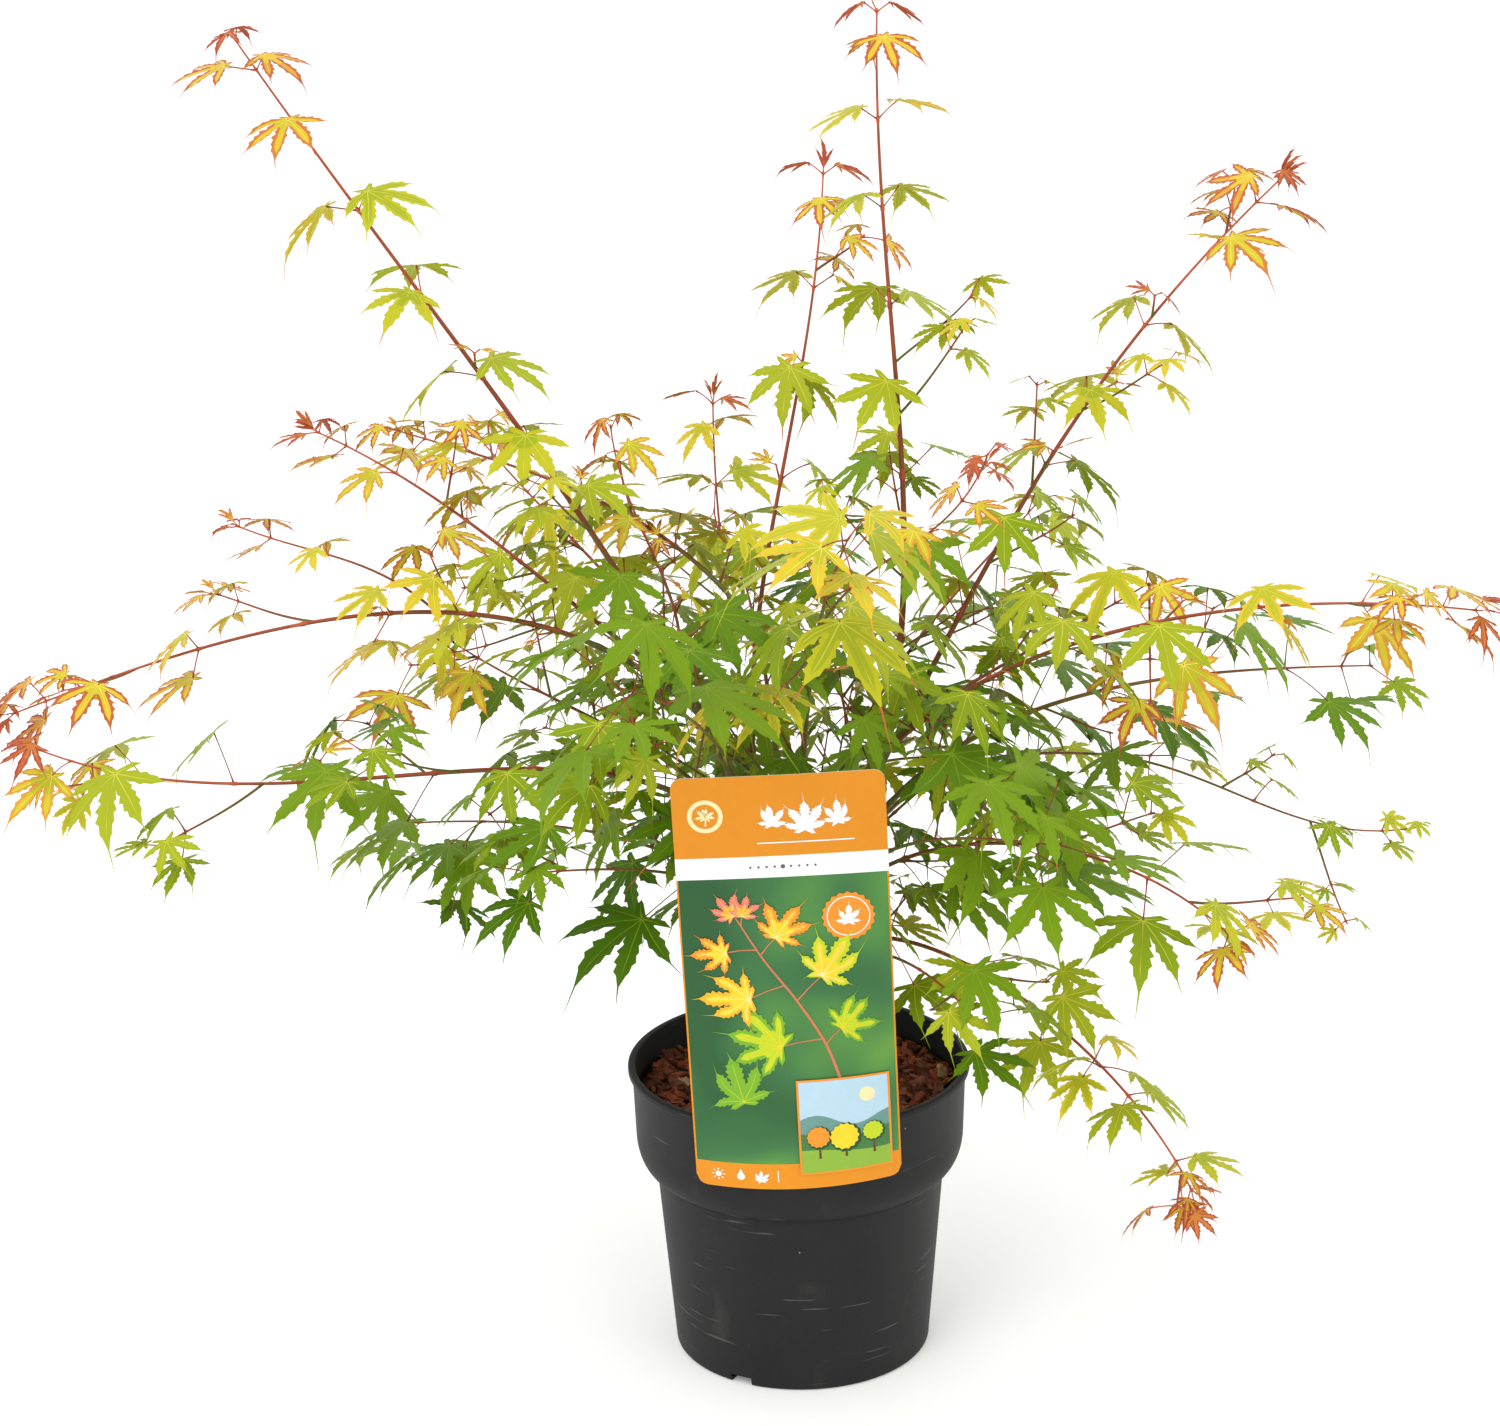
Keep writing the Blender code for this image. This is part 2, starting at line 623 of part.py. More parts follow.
class Mass:
    """One leafy shoot: its stem, its side twigs and the leaves they bear."""

    def __init__(self, name, limb, first, space, stems):
        self.name = name
        self.limb = limb
        self.first = first
        self.space = space
        self.stems = stems
        self.chance = random.Random(name)
        self.blade = LIMBS[name]["blade"] / 1000
        self.stem = tube(limb, first, 1.0, STEM_SIDES, ring_count(limb, first, 1.0))
        self.pieces = []
        self.own = Space()

    def in_own_space(self, point):
        """Whether a point is nearer this stem than the others, within the slack."""
        nearest = {name: min((point - p).length for p in points)
                   for name, points in self.stems.items()}
        others = min(d for name, d in nearest.items() if name != self.name)
        return nearest[self.name] < others + OWN_SPACE_SLACK

    def try_piece(self, shape, probe, middle):
        """Keep a piece if its middle is in this mass's space and it touches nothing."""
        clear = (self.in_own_space(middle) and self.space.is_clear(shape, LEAF_CLEARANCE)
                 and self.own.is_clear(probe, LEAF_CLEARANCE))
        if clear:
            self.own.add(probe)
            self.pieces.append(shape)
        else:
            shape.free()
        probe.free()
        return clear

    def add_leaf(self, limb, t, turn, size, droop, roll, outline):
        """One leaf, tested without the foot of its petiole, which sinks into the stem."""
        petiole = size * self.chance.uniform(*PETIOLE_SHARE)
        place, root = leaf_place(limb, t, turn, petiole, droop, roll)
        shape = leaf_shape(place, root, size, outline)
        probe = shape.copy()
        near = [v for v in probe.verts
                if (v.co - root).length < petiole * PETIOLE_ROOT_SHARE]
        for vert in near:
            vert.co = root + (place.translation - root) * PETIOLE_ROOT_SHARE
        self.try_piece(shape, probe, place @ Vector((0, size * 0.4, 0)))

    def dress(self, limb, first, scale, outline):
        """Leaf pairs along a stem or twig, turning a quarter from pair to pair."""
        chance = self.chance
        turn = chance.uniform(-FIRST_TURN_SPREAD, FIRST_TURN_SPREAD)
        for number, t in enumerate(leaf_pairs(limb, first, chance)):
            share = TIP_SIZES[number] if number < len(TIP_SIZES) else 1.0
            full = FULL_LEAF_DROOP if share == 1.0 else 0
            cut = HALF_LEAFLET if number < YOUNG_PAIRS else outline
            for side in (0, math.pi):
                size = self.blade * scale * share * chance.uniform(*LEAF_SIZE_SPREAD)
                droop = math.radians(chance.uniform(*LEAF_DROOP) + full)
                roll = math.radians(chance.uniform(-LEAF_ROLL, LEAF_ROLL))
                swing = (turn + side + number * math.pi / 2
                         + chance.uniform(-PAIR_TURN_SPREAD, PAIR_TURN_SPREAD))
                self.add_leaf(limb, t, swing, size, droop, roll, cut)

    def add_twig(self, t, number):
        """A side twig that opens from the stem and bears its own leaves."""
        chance = self.chance
        turn = chance.uniform(-TWIG_TURN_SPREAD, TWIG_TURN_SPREAD) + math.pi * (number % 2)
        heading = self.limb.heading(t)
        level, rise = across_frame(heading)
        outward = level * math.cos(turn) + rise * math.sin(turn)
        opening = math.radians(TWIG_OPENING)
        along = (outward * math.sin(opening) + heading * math.cos(opening)).normalized()
        start = self.limb.point(t)
        tip = (start + along * (TWIG_REACH * chance.uniform(*TWIG_REACH_SPREAD))
               + Vector((0, 0, TWIG_LIFT)))
        slope = math.degrees(math.asin(max(-1.0, min(1.0, along.z))))
        twig = Limb(start, tip, slope, slope + TWIG_RISE, 0,
                    LIMB_TIP_RADIUS * TWIG_THICKENING, LIMB_TIP_RADIUS)
        shape = tube(twig, 0.0, 1.0, TWIG_SIDES, 2)
        probe = tube(twig, TWIG_ROOT_SHARE, 1.0, TWIG_SIDES, 1)
        if self.try_piece(shape, probe, tip):
            self.stems[self.name].extend([twig.point(0.5), tip])
            self.dress(twig, TWIG_BARE_SHARE, TWIG_LEAF_SCALE, HALF_LEAFLET)

    def grow(self):
        """Grow the leaves along the stem, then the side twigs with theirs."""
        twig_places = leaf_pairs(self.limb, self.first, random.Random(self.name))
        self.own.add(self.stem_thread())
        self.dress(self.limb, self.first, 1.0, HALF_LEAF)
        for number in SIDE_TWIGS.get(self.name, ()):
            if number < len(twig_places):
                below = TWIG_BELOW_PAIR / self.limb.length
                self.add_twig(twig_places[number] - below, number)

    def stem_thread(self):
        """A thread along the stem, which blades and twigs may not cross."""
        start, tip = self.limb.marks[0], self.limb.marks[-1]
        thread = Limb(start, tip, 0, 0, 0, THREAD_RADIUS, THREAD_RADIUS)
        thread.marks = self.limb.marks
        return tube(thread, self.first, 1.0, TWIG_SIDES, THREAD_RINGS)

    def join(self, material):
        """One union of the stem with the collection of its twigs and leaves."""
        stem = add_object(self.name + "_leaves", self.stem, material)
        gathered = bpy.data.collections.new(self.name + "_pieces")
        bpy.context.scene.collection.children.link(gathered)
        parts = []
        for number, shape in enumerate(self.pieces):
            mesh = bpy.data.meshes.new(f"piece_{number}")
            shape.to_mesh(mesh)
            shape.free()
            part = bpy.data.objects.new(f"piece_{number}", mesh)
            gathered.objects.link(part)
            parts.append(part)
        union = stem.modifiers.new("union", "BOOLEAN")
        union.operation = "UNION"
        union.operand_type = "COLLECTION"
        union.collection = gathered
        union.solver = "MANIFOLD"
        bpy.ops.object.select_all(action="DESELECT")
        bpy.context.view_layer.objects.active = stem
        bpy.ops.object.modifier_apply(modifier=union.name)
        for part in parts:
            bpy.data.objects.remove(part, do_unlink=True)
        bpy.data.collections.remove(gathered)
        keep_largest_shell(stem)
        return stem


def keep_largest_shell(obj):
    """Drop loose scraps and filled hollows, so that one closed body is left."""
    shape = bmesh.new()
    shape.from_mesh(obj.data)
    on_a_straight = [vert for vert in shape.verts if len(vert.link_edges) == 2]
    bmesh.ops.dissolve_verts(shape, verts=on_a_straight)
    bmesh.ops.triangulate(shape, faces=shape.faces)
    left = set(shape.faces)
    shells = []
    while left:
        front = [left.pop()]
        shell = set(front)
        while front:
            face = front.pop()
            for edge in face.edges:
                for other in edge.link_faces:
                    if other in left:
                        left.remove(other)
                        shell.add(other)
                        front.append(other)
        shells.append(shell)
    shells.sort(key=len)
    for shell in shells[:-1]:
        bmesh.ops.delete(shape, geom=list(shell), context="FACES")
    shape.to_mesh(obj.data)
    shape.free()


def make_boughs(limbs, space, material):
    """The bare foot of each limb, and where the leafy stem goes on from it."""
    starts = {}
    for name, plan in LIMBS.items():
        limb = limbs[name]
        sides = BOUGH_SIDES if plan["bare"] else STEM_SIDES
        starts[name] = first_clear(limb, plan["bare"] or 1.0, sides, space)
        if plan["bare"]:
            half_gap = GAP * 0.5 / limb.length
            end = max(plan["bare"], starts[name] + LEAST_BOUGH / limb.length)
            bough = tube(limb, starts[name], end - half_gap, sides,
                         ring_count(limb, starts[name], end))
            space.add(bough)
            add_object(name + "_bough", bough, material, 50)
            starts[name] = end + half_gap
    return starts


def make_masses(limbs, starts, space, material):
    """The leafy shoot of each limb, kept clear of every other one."""
    stems = {name: [limbs[name].point(starts[name] + (1 - starts[name]) * k / STEM_MARKS)
                    for k in range(STEM_MARKS + 1)] for name in LIMBS}
    masses = [Mass(name, limbs[name], starts[name], space, stems) for name in LIMBS]
    for mass in masses:
        for other in masses:
            if other is not mass:
                mass.own.add(other.stem)
    for mass in masses:
        mass.grow()
        for shape in mass.pieces:
            space.add(shape)
    for mass in masses:
        mass.join(material)


def build():
    """Pot, soil and card first, then the trunk, the boughs and their leafy shoots."""
    clear_scene()
    pot_plastic = plain_material("pot_plastic", (0.030, 0.032, 0.035), 0.48)
    bark_mulch = plain_material("bark_mulch", (0.11, 0.045, 0.022), 0.9)
    card_board = plain_material("card_board", (0.85, 0.42, 0.10), 0.4)
    bark = plain_material("bark", (0.20, 0.15, 0.06), 0.6)
    foliage = plain_material("foliage", (0.22, 0.40, 0.06), 0.5)

    space = Space()
    still = [make_pot(pot_plastic), make_soil(bark_mulch), make_card(card_board),
             make_tongue(card_board)]
    bpy.context.view_layer.update()
    for obj in still:
        space.add_object(obj)

    limbs = grow_limbs()
    trunk = tube(limbs["trunk"], 0.0, 1.0, TRUNK_SIDES, TRUNK_RINGS)
    space.add(trunk)
    add_object("trunk", trunk, bark, 50)
    starts = make_boughs(limbs, space, bark)
    make_masses(limbs, starts, space, foliage)


build()
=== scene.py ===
"""Looks of a young Japanese maple in its nursery pot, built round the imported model."""

import json
import math
import random

import bpy
import numpy as np
from mathutils import Matrix, Vector, noise
from mathutils.bvhtree import BVHTree

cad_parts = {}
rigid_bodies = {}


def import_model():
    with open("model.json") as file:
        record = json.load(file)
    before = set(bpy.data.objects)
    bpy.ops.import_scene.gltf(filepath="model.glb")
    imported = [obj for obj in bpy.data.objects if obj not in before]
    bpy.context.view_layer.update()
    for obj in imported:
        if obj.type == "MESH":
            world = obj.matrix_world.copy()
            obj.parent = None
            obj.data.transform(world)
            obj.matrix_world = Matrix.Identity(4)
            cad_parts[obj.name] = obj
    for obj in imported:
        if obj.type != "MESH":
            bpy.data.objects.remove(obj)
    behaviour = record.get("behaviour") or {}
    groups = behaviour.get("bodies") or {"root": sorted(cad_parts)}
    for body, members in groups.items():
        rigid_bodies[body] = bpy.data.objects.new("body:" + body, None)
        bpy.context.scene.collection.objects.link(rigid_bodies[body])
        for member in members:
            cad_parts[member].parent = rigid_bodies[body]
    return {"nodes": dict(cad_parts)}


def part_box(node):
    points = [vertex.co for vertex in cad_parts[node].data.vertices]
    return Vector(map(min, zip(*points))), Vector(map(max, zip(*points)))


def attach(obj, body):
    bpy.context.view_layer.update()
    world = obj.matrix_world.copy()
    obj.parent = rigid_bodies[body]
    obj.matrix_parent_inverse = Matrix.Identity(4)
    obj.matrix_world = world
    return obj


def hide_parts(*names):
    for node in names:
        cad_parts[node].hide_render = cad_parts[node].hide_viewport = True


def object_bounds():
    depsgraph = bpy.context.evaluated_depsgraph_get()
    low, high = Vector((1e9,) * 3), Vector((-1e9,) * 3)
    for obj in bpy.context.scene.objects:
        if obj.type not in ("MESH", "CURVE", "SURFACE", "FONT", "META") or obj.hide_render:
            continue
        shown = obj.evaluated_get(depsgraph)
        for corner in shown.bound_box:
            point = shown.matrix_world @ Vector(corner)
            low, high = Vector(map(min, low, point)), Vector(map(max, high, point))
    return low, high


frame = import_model()
CAD_BOX = [list(corner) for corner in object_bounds()]
NODES = frame["nodes"]
bpy.ops.object.select_all(action="DESELECT")


def ink(red, green, blue):
    """Linear colour from the 0 to 255 values that a screen shows."""
    shares = [value / 255 for value in (red, green, blue)]
    return tuple(s / 12.92 if s <= 0.04045 else ((s + 0.055) / 1.055) ** 2.4 for s in shares)


# Camera, fitted to the pot in the photo's frame
FRAME_WIDTH = 1500
FOCAL_PIXELS = 3503
SENSOR_WIDTH = 36.0
CAMERA_PLACE = (0.0, -1.8, 0.938)
CAMERA_PITCH = -17.52
CAMERA_YAW = -0.74
CAMERA_ROLL = -1.13

# Floor, sky and lights, each light as its name, place, size and power
FLOOR_SIZE = 60.0
FLOOR_GLOW = 0.17
SKY_STRENGTH = 1.02
LIGHTS = (("key", (-1.4, -2.4, 3.2), 2.0, 46.0), ("fill", (2.4, -1.8, 2.0), 2.0, 12.0))
LIGHT_AIM = (0.0, 0.0, 0.4)

# Pot, read from the frame, with the heights of its collar and step
POT_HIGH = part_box("pot")[1]
RIM_RADIUS = POT_HIGH.x
POT_HEIGHT = POT_HIGH.z
LIP_HEIGHT = 0.004
LIP_OVERHANG = 0.0022
COLLAR_TAPER = 0.0014
COLLAR_FOOT_Z = 0.128
COLLAR_STEP_Z = 0.108
COLLAR_STEP_RADIUS = 0.0812
BODY_TOP_RADIUS = 0.0802
BODY_FOOT_RADIUS = 0.0720
BODY_FOOT_Z = 0.0063
BASE_RADIUS = 0.0695
POT_WALL = 0.0018
POT_SIDES = 128
STEP_DROP = 0.0022
SHOULDER_STEPS = 9
BASE_ROUNDING = 0.0024
LIP_ROUNDINGS = (0.0009, 0.0012, 0.0008)
DRAIN_COUNT = 3
DRAIN_FIRST_ANGLE = -119.0
DRAIN_SIZE = (0.028, 0.013, 0.0100)
SMOOTH_ANGLE = math.radians(40)

# Soil, and the bark chips on it
SOIL_TOP_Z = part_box("soil")[1].z
SOIL_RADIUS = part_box("soil")[1].x - 0.0003
SOIL_SIDES = 96
SOIL_RINGS = 20
SOIL_SINK = 0.0026
SOIL_LUMPS = ((90, 0.0012), (260, 0.0008))
CHIP_COUNT = 1100
CHIP_LENGTH = (0.004, 0.0165)
CHIP_SECTIONS = ((0.42, 0.16), (0.30, 0.20), (0.60, 0.12), (0.18, 0.12), (0.46, 0.30))
CHIP_BEVEL = 0.22
CHIP_TILTS = (0.35, 0.28)
CHIP_DEPTH = 0.0022
CHIP_SHARES = (5, 6, 4, 0.35)
CHIP_INKS = (("chip_dark", ink(46, 18, 8), ink(100, 44, 22)),
             ("chip_red", ink(92, 36, 16), ink(166, 80, 42)),
             ("chip_brown", ink(70, 32, 16), ink(134, 74, 44)),
             ("chip_pale", ink(128, 96, 66), ink(190, 160, 124)))

# Card
CARD_WIDTH = 0.110
CARD_HEIGHT = 0.238
CARD_FOOT_Z = 0.133
CARD_THICKNESS = 0.0007
CARD_CENTRE_X = -0.0005
CARD_TURN = 2.0
CARD_FRONT = 0.0968
CARD_BOW_FOOT = 4.6
CARD_BOW_TOP = 0.6
CARD_BOW_SHARE = 0.67
CARD_FOOT_TUCK = 0.0022
CARD_TUCK_SHARE = 0.14
CARD_LEAN = 0.016
CARD_LEAN_FROM = 0.15
CARD_CORNER = 0.006
CARD_MARGIN = 0.003
CARD_RIM = 0.0009
HEADER_FOOT = 0.193
STRIPE_FOOT = 0.181
FIELD_FOOT = 0.015
PRINT_GAP = 0.00012
PRINT_LAYER = 0.00005
PRINT_STEP = 0.0045

# What is printed on the card, in metres across and up its face: a spray of leaves as place,
# size, turn and inks, a seal, a framed view of three round trees and a header with an emblem
PRINT_INKS = (
    ("print_white", (0.90, 0.90, 0.88)), ("print_cream", ink(250, 226, 170)),
    ("print_orange", ink(232, 146, 44)), ("print_yellow", ink(232, 206, 44)),
    ("print_lime", ink(190, 206, 36)), ("print_green", ink(120, 172, 44)),
    ("print_gold", ink(236, 176, 44)), ("print_rose", ink(226, 128, 104)),
    ("print_stem", ink(198, 122, 84)), ("print_grey", ink(96, 100, 92)),
    ("print_sky", ink(178, 208, 224)), ("print_far_hill", ink(104, 148, 140)),
    ("print_hill", ink(70, 120, 66)), ("print_meadow", ink(138, 176, 60)),
    ("print_wood", ink(96, 66, 44)), ("print_dark", ink(40, 82, 44)),
)

# The spray's stem and its leaves, each leaf with the inks of its rib, heart, blade and margin
SPRAY_STEM = ((0.026, 0.058), (0.018, 0.084), (0.004, 0.110), (-0.012, 0.134),
              (-0.024, 0.156))
LEAF_GREEN = ("print_lime", "print_green", "print_green", "print_green")
LEAF_LIME = ("print_yellow", "print_lime", "print_lime", "print_green")
LEAF_LEMON = ("print_cream", "print_yellow", "print_yellow", "print_lime")
LEAF_GOLD = ("print_cream", "print_yellow", "print_yellow", "print_gold")
LEAF_AMBER = ("print_cream", "print_yellow", "print_gold", "print_orange")
LEAF_ROSE = ("print_cream", "print_gold", "print_rose", "print_rose")
LEAF_WHITE = ("print_white",) * 4
LEAF_CREAM = ("print_cream",) * 4
SPRAY_LEAVES = (
    (0.027, 0.093, 0.024, -50, LEAF_LIME), (-0.006, 0.084, 0.032, 74, LEAF_LIME),
    (0.018, 0.124, 0.027, -36, LEAF_LEMON), (-0.021, 0.112, 0.027, 88, LEAF_GOLD),
    (-0.005, 0.147, 0.023, -30, LEAF_AMBER), (-0.032, 0.139, 0.019, 96, LEAF_AMBER),
    (-0.027, 0.160, 0.015, 34, LEAF_ROSE), (-0.022, 0.160, 0.013, -16, LEAF_ROSE),
    (-0.027, 0.052, 0.027, 12, LEAF_GREEN),
)
SEAL_PLACE = (0.033, 0.157)
SEAL_RADIUS = 0.0135
VIEW_FRAME = (0.001, 0.0085, 0.0505, 0.0640)
VIEW_BORDER = 0.0012
VIEW_LAYER = 14
VIEW_SUN = (0.036, 0.010, 0.0042)
VIEW_HILLS = ((0.030, 0.0035, 150, 0.0, "print_far_hill"),
              (0.021, 0.0030, 110, 2.0, "print_hill"),
              (0.012, 0.0014, 90, 1.0, "print_meadow"))
VIEW_TREES = ((0.012, 0.026, 0.0068, "print_orange"), (0.026, 0.024, 0.0085, "print_yellow"),
              (0.041, 0.027, 0.0060, "print_lime"))
HEADER_LEAVES = ((-0.004, 0.2105, 0.0125, 0), (0.013, 0.2075, 0.0175, 0),
                 (0.030, 0.2105, 0.0125, 0))
EMBLEM_PLACE = (-0.038, 0.2165)
EMBLEM_RADII = (0.0068, 0.0092)
EMBLEM_LEAF = 0.0058
EMBLEM_LEAF_TURN = 52
RULE_START = (-0.012, 0.2005)
RULE_STEP = 0.005
RULE_MARKS = 11
RULE_WIDTH = 0.0007
DOTS_EACH_SIDE = 4
DOT_SPACING = 0.0042
DOT_RADII = (0.00065, 0.0012)

# Small marks on the card's foot: a sun, a drop, a leaf and a bar
FOOT_SUN = (-0.043, 0.0078)
FOOT_SUN_RADIUS = 0.0016
FOOT_RAYS = (0.0023, 0.0035)
FOOT_RAY_COUNT = 8
FOOT_DROP = (-0.031, 0.0072)
FOOT_LEAF = (-0.020, 0.0048)
FOOT_BAR = (-0.011, 0.0045, 0.0112)
FOOT_LINE = 0.0005

# Trunk and limbs
TRUNK_FORK = (0.003, 0.0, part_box("trunk")[1].z)
TRUNK_FOOT_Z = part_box("trunk")[0].z
TRUNK_BASE_RADIUS = 0.0085
TRUNK_FORK_RADIUS = 0.0052
TRUNK_ARRIVE = 86
ROOT_FLARE = 0.0060
FLARE_HEIGHT = 0.005
GRAFT_HEIGHT = 0.030
GRAFT_SPREAD = 0.007
GRAFT_BULGE = 0.0014
HANDLE = 0.38
HEADING_STEP = 0.01
TAPER_POWER = 0.85
LIMB_TIP_RADIUS = 0.0011
STEM_TIP_RADIUS = 0.0006
STEM_SLIMNESS = 0.70
LENGTH_STEPS = 40

# Leaves and leaf pairs
LEAF_DROOP = (2, 34)
FULL_LEAF_DROOP = 12
LEAF_ROLL = 22
LEAF_SIZE_SPREAD = (0.86, 1.10)
PETIOLE_SHARE = (0.55, 0.85)
YOUNG_PETIOLE_SHARE = (0.32, 0.52)
PETIOLE_OUTWARD = 0.86
PETIOLE_FORWARD = 0.42
PETIOLE_LIFT = 0.22
PETIOLE_RADIUS = 0.00036
LEAST_SPREAD = 0.3
TIPWARD_PULL = 0.4
INTERNODE = 0.049
INTERNODE_SPREAD = (0.88, 1.12)
TIP_INTERNODES = (0.34, 0.72)
TIP_SIZES = (0.62, 0.80, 0.95)
FIRST_PAIR_DOWN = 0.002
LAST_PAIR_UP = 0.006
PAIR_TURN_SPREAD = 0.3
FIRST_TURN_SPREAD = 0.5

# Which leaves a shoot may bear: those near its own stem and clear of all limbs
OWN_SPACE_SLACK = 0.016
OWN_SPACE_MARKS = 12
PROBE_MARKS = 14
PROBE_SLIMNESS = 0.7
PROBE_LEAST_RADIUS = 0.0004

# Each limb as in the source: parent, place along it, heading in degrees, the tip's reach and
# height in millimetres, the angles at which it leaves and arrives, its thickness and the
# length of its leaf blades in millimetres. Tint is the age of its youngest leaves, over how
# many pairs they turn green, and the age of its oldest, on the scale of LEAF_TINTS
LIMB_KEYS = ("parent", "at", "heading", "reach", "height", "leave", "arrive", "thick", "blade",
             "tint", "bare")
LIMB_ROWS = {
    "leader_left": ("trunk", 1.0, -163, 279, 744, 72, 58, 3.6, 38, (11.5, 2.0, 4.6)),
    "leader_centre": ("trunk", 0.96, 31, 57, 740, 52, 88, 3.4, 36, (11.2, 2.0, 4.0)),
    "middle_front": ("trunk", 1.0, -84, 251, 531, 96, 27, 2.8, 56, (6.8, 3.0, 4.8)),
    "right_long": ("trunk", 0.93, -21, 364, 458, 88, -2, 2.8, 40, (11.0, 2.2, 4.2)),
    "second_centre": ("trunk", 0.9, 80, 122, 643, 66, 72, 2.6, 36, (10.8, 2.0, 3.2)),
    "back_left": ("trunk", 0.94, 128, 300, 470, 80, 28, 2.4, 40, (9.0, 1.8, 3.6)),
    "back_right": ("trunk", 0.88, 60, 305, 420, 84, 16, 2.4, 44, (6.5, 1.6, 2.8)),
    "right_low": ("trunk", 0.73, -31, 258, 288, 82, -38, 2.2, 46, (8.8, 1.4, 2.4)),
    "upper_right": ("leader_centre", 0.2, 13, 271, 644, 62, 42, 2.5, 38, (11.2, 2.6, 3.6)),
    "right_mid": ("right_long", 0.14, 1, 191, 438, 70, 32, 2.2, 46, (7.0, 1.6, 4.4)),
    "right_cut": ("leader_centre", 0.05, 21, 357, 352, 66, -6, 2.6, 50, (3.6, 1.5, 2.0)),
    "right_far": ("right_cut", 0.1, 34, 270, 292, 40, -10, 2.0, 44, (5.4, 1.6, 2.0)),
    "left_low": ("leader_left", 0.06, -167, 400, 385, 62, 28, 2.6, 44, (11.0, 1.3, 2.6)),
    "left_mid": ("leader_left", 0.24, -174, 414, 389, 47, -20, 2.4, 38, (11.0, 3.4, 5.0)),
    "left_small": ("leader_left", 0.27, 156, 290, 502, 25, 14, 2.0, 34, (11.2, 1.8, 4.8)),
    "left_upright": ("leader_left", 0.29, 162, 100, 523, 108, 84, 1.5, 34, (10.0, 2.5, 5.0)),
    "left_arc": ("middle_front", 0.34, 148, 261, 497, 72, 6, 2.1, 36, (8.4, 2.0, 4.8)),
    "left_far": ("second_centre", 0.1, 155, 212, 387, 60, 27, 2.2, 44, (6.2, 1.4, 2.4)),
    "rear_upright": ("second_centre", 0.22, 106, 155, 509, 48, 96, 1.6, 36, (10.2, 1.8, 4.2)),
    "front_left": ("trunk", 0.88, -113, 215, 446, 70, 20, 2.0, 58, (3.2, 1.5, 2.2)),
    "front_right": ("right_low", 0.12, -52, 215, 352, 60, 12, 2.0, 54, (3.2, 1.3, 2.0)),
    "droop_right": ("trunk", 0.64, -39, 258, 160, 72, -58, 2.0, 36, (10.2, 0.9, 4.3)),
    "low_left": ("trunk", 0.68, -140, 180, 322, 78, 10, 1.9, 48, (3.0, 1.2, 1.8)),
    "low_right": ("trunk", 0.55, -57, 170, 246, 62, -24, 1.8, 50, (3.6, 1.2, 2.4)),
    "back_centre": ("back_left", 0.12, 97, 275, 392, 70, 10, 2.2, 44, (6.0, 1.4, 2.2)),
    "back_low": ("trunk", 0.64, 112, 225, 268, 68, -16, 1.8, 46, (3.6, 1.3, 1.6)),
    "left_back_low": ("trunk", 0.7, 168, 235, 292, 74, -8, 1.8, 46, (3.6, 1.3, 1.6)),
    "inner_left": ("leader_left", 0.12, -150, 105, 392, 60, 60, 1.5, 44, (3.0, 1.5, 1.6)),
    "inner_right": ("leader_centre", 0.1, -22, 112, 388, 50, 62, 1.5, 44, (3.2, 1.5, 1.8)),
    "inner_back": ("leader_centre", 0.15, 82, 120, 420, 60, 70, 1.5, 44, (3.0, 1.5, 1.6)),
    "inner_front": ("middle_front", 0.16, -120, 84, 404, 60, 60, 1.5, 46, (3.2, 1.5, 2.0)),
}

# How far a limb sets off beside its heading, in degrees, before it curves back to it
SIDEWAYS = {"second_centre": 78}

# Fine shoots that are too thin for the source, in the same columns and then the share of
# their length that is bare
FINE_ROWS = {
    "far_spray": ("right_far", 0.72, 9, 353, 279, 4, 16, 1.2, 25, (5.4, 1.5, 4.2), 0.3),
    "left_spray": ("left_mid", 0.42, 178, 296, 476, 40, 18, 1.1, 26, (10.2, 1.4, 6.0), 0.3),
    "middle_spray": ("middle_front", 0.62, -62, 196, 545, 60, 62, 1.1, 26, (11.0, 1.2, 7.0), 0.4),
    "heart_front": ("trunk", 0.92, -60, 62, 400, 70, 70, 1.4, 42, (3.6, 1.4, 2.2), 0.45),
    "heart_back": ("trunk", 0.85, 78, 95, 330, 62, 38, 1.4, 42, (3.6, 1.4, 2.0), 0.35),
    "fill_back_left": ("back_left", 0.3, 138, 195, 322, 8, 2, 1.3, 40, (4.8, 1.4, 2.4), 0.25),
    "fill_back_right": ("back_right", 0.3, 42, 210, 300, 6, 0, 1.3, 40, (4.8, 1.4, 2.2), 0.25),
}
LIMBS = {name: dict(zip(LIMB_KEYS, row)) for name, row in LIMB_ROWS.items()}
FINE_SHOOTS = {name: dict(zip(LIMB_KEYS, row)) for name, row in FINE_ROWS.items()}
SHOOTS = {**LIMBS, **FINE_SHOOTS}

# Sprigs of tiny young leaves at the older leaf pairs of these shoots
SPRIGGED = ("leader_left", "leader_centre", "second_centre", "upper_right", "middle_front",
            "left_upright", "rear_upright", "left_low", "left_mid", "left_small", "left_arc",
            "right_mid", "right_long", "middle_spray")
SPRIG_FIRST_PAIR = 3
SPRIG_SHARE = 0.5
SPRIG_REACH = (0.005, 0.018)
SPRIG_BLADE = (0.010, 0.020)
SPRIG_YOUTH = (2.4, 4.6)
SPRIG_AGES = (7.2, 11.0)
SPRIG_LIFT = 0.5
SPRIG_PETIOLE = 0.3
SPRIG_BUD_UNDER = 0.012
TUFT_FROM_AGE = 8.0
TUFT_BLADES = (0.013, 0.018, 0.015)
TUFT_DOWN = 0.0015
TUFT_TURN = 2.1
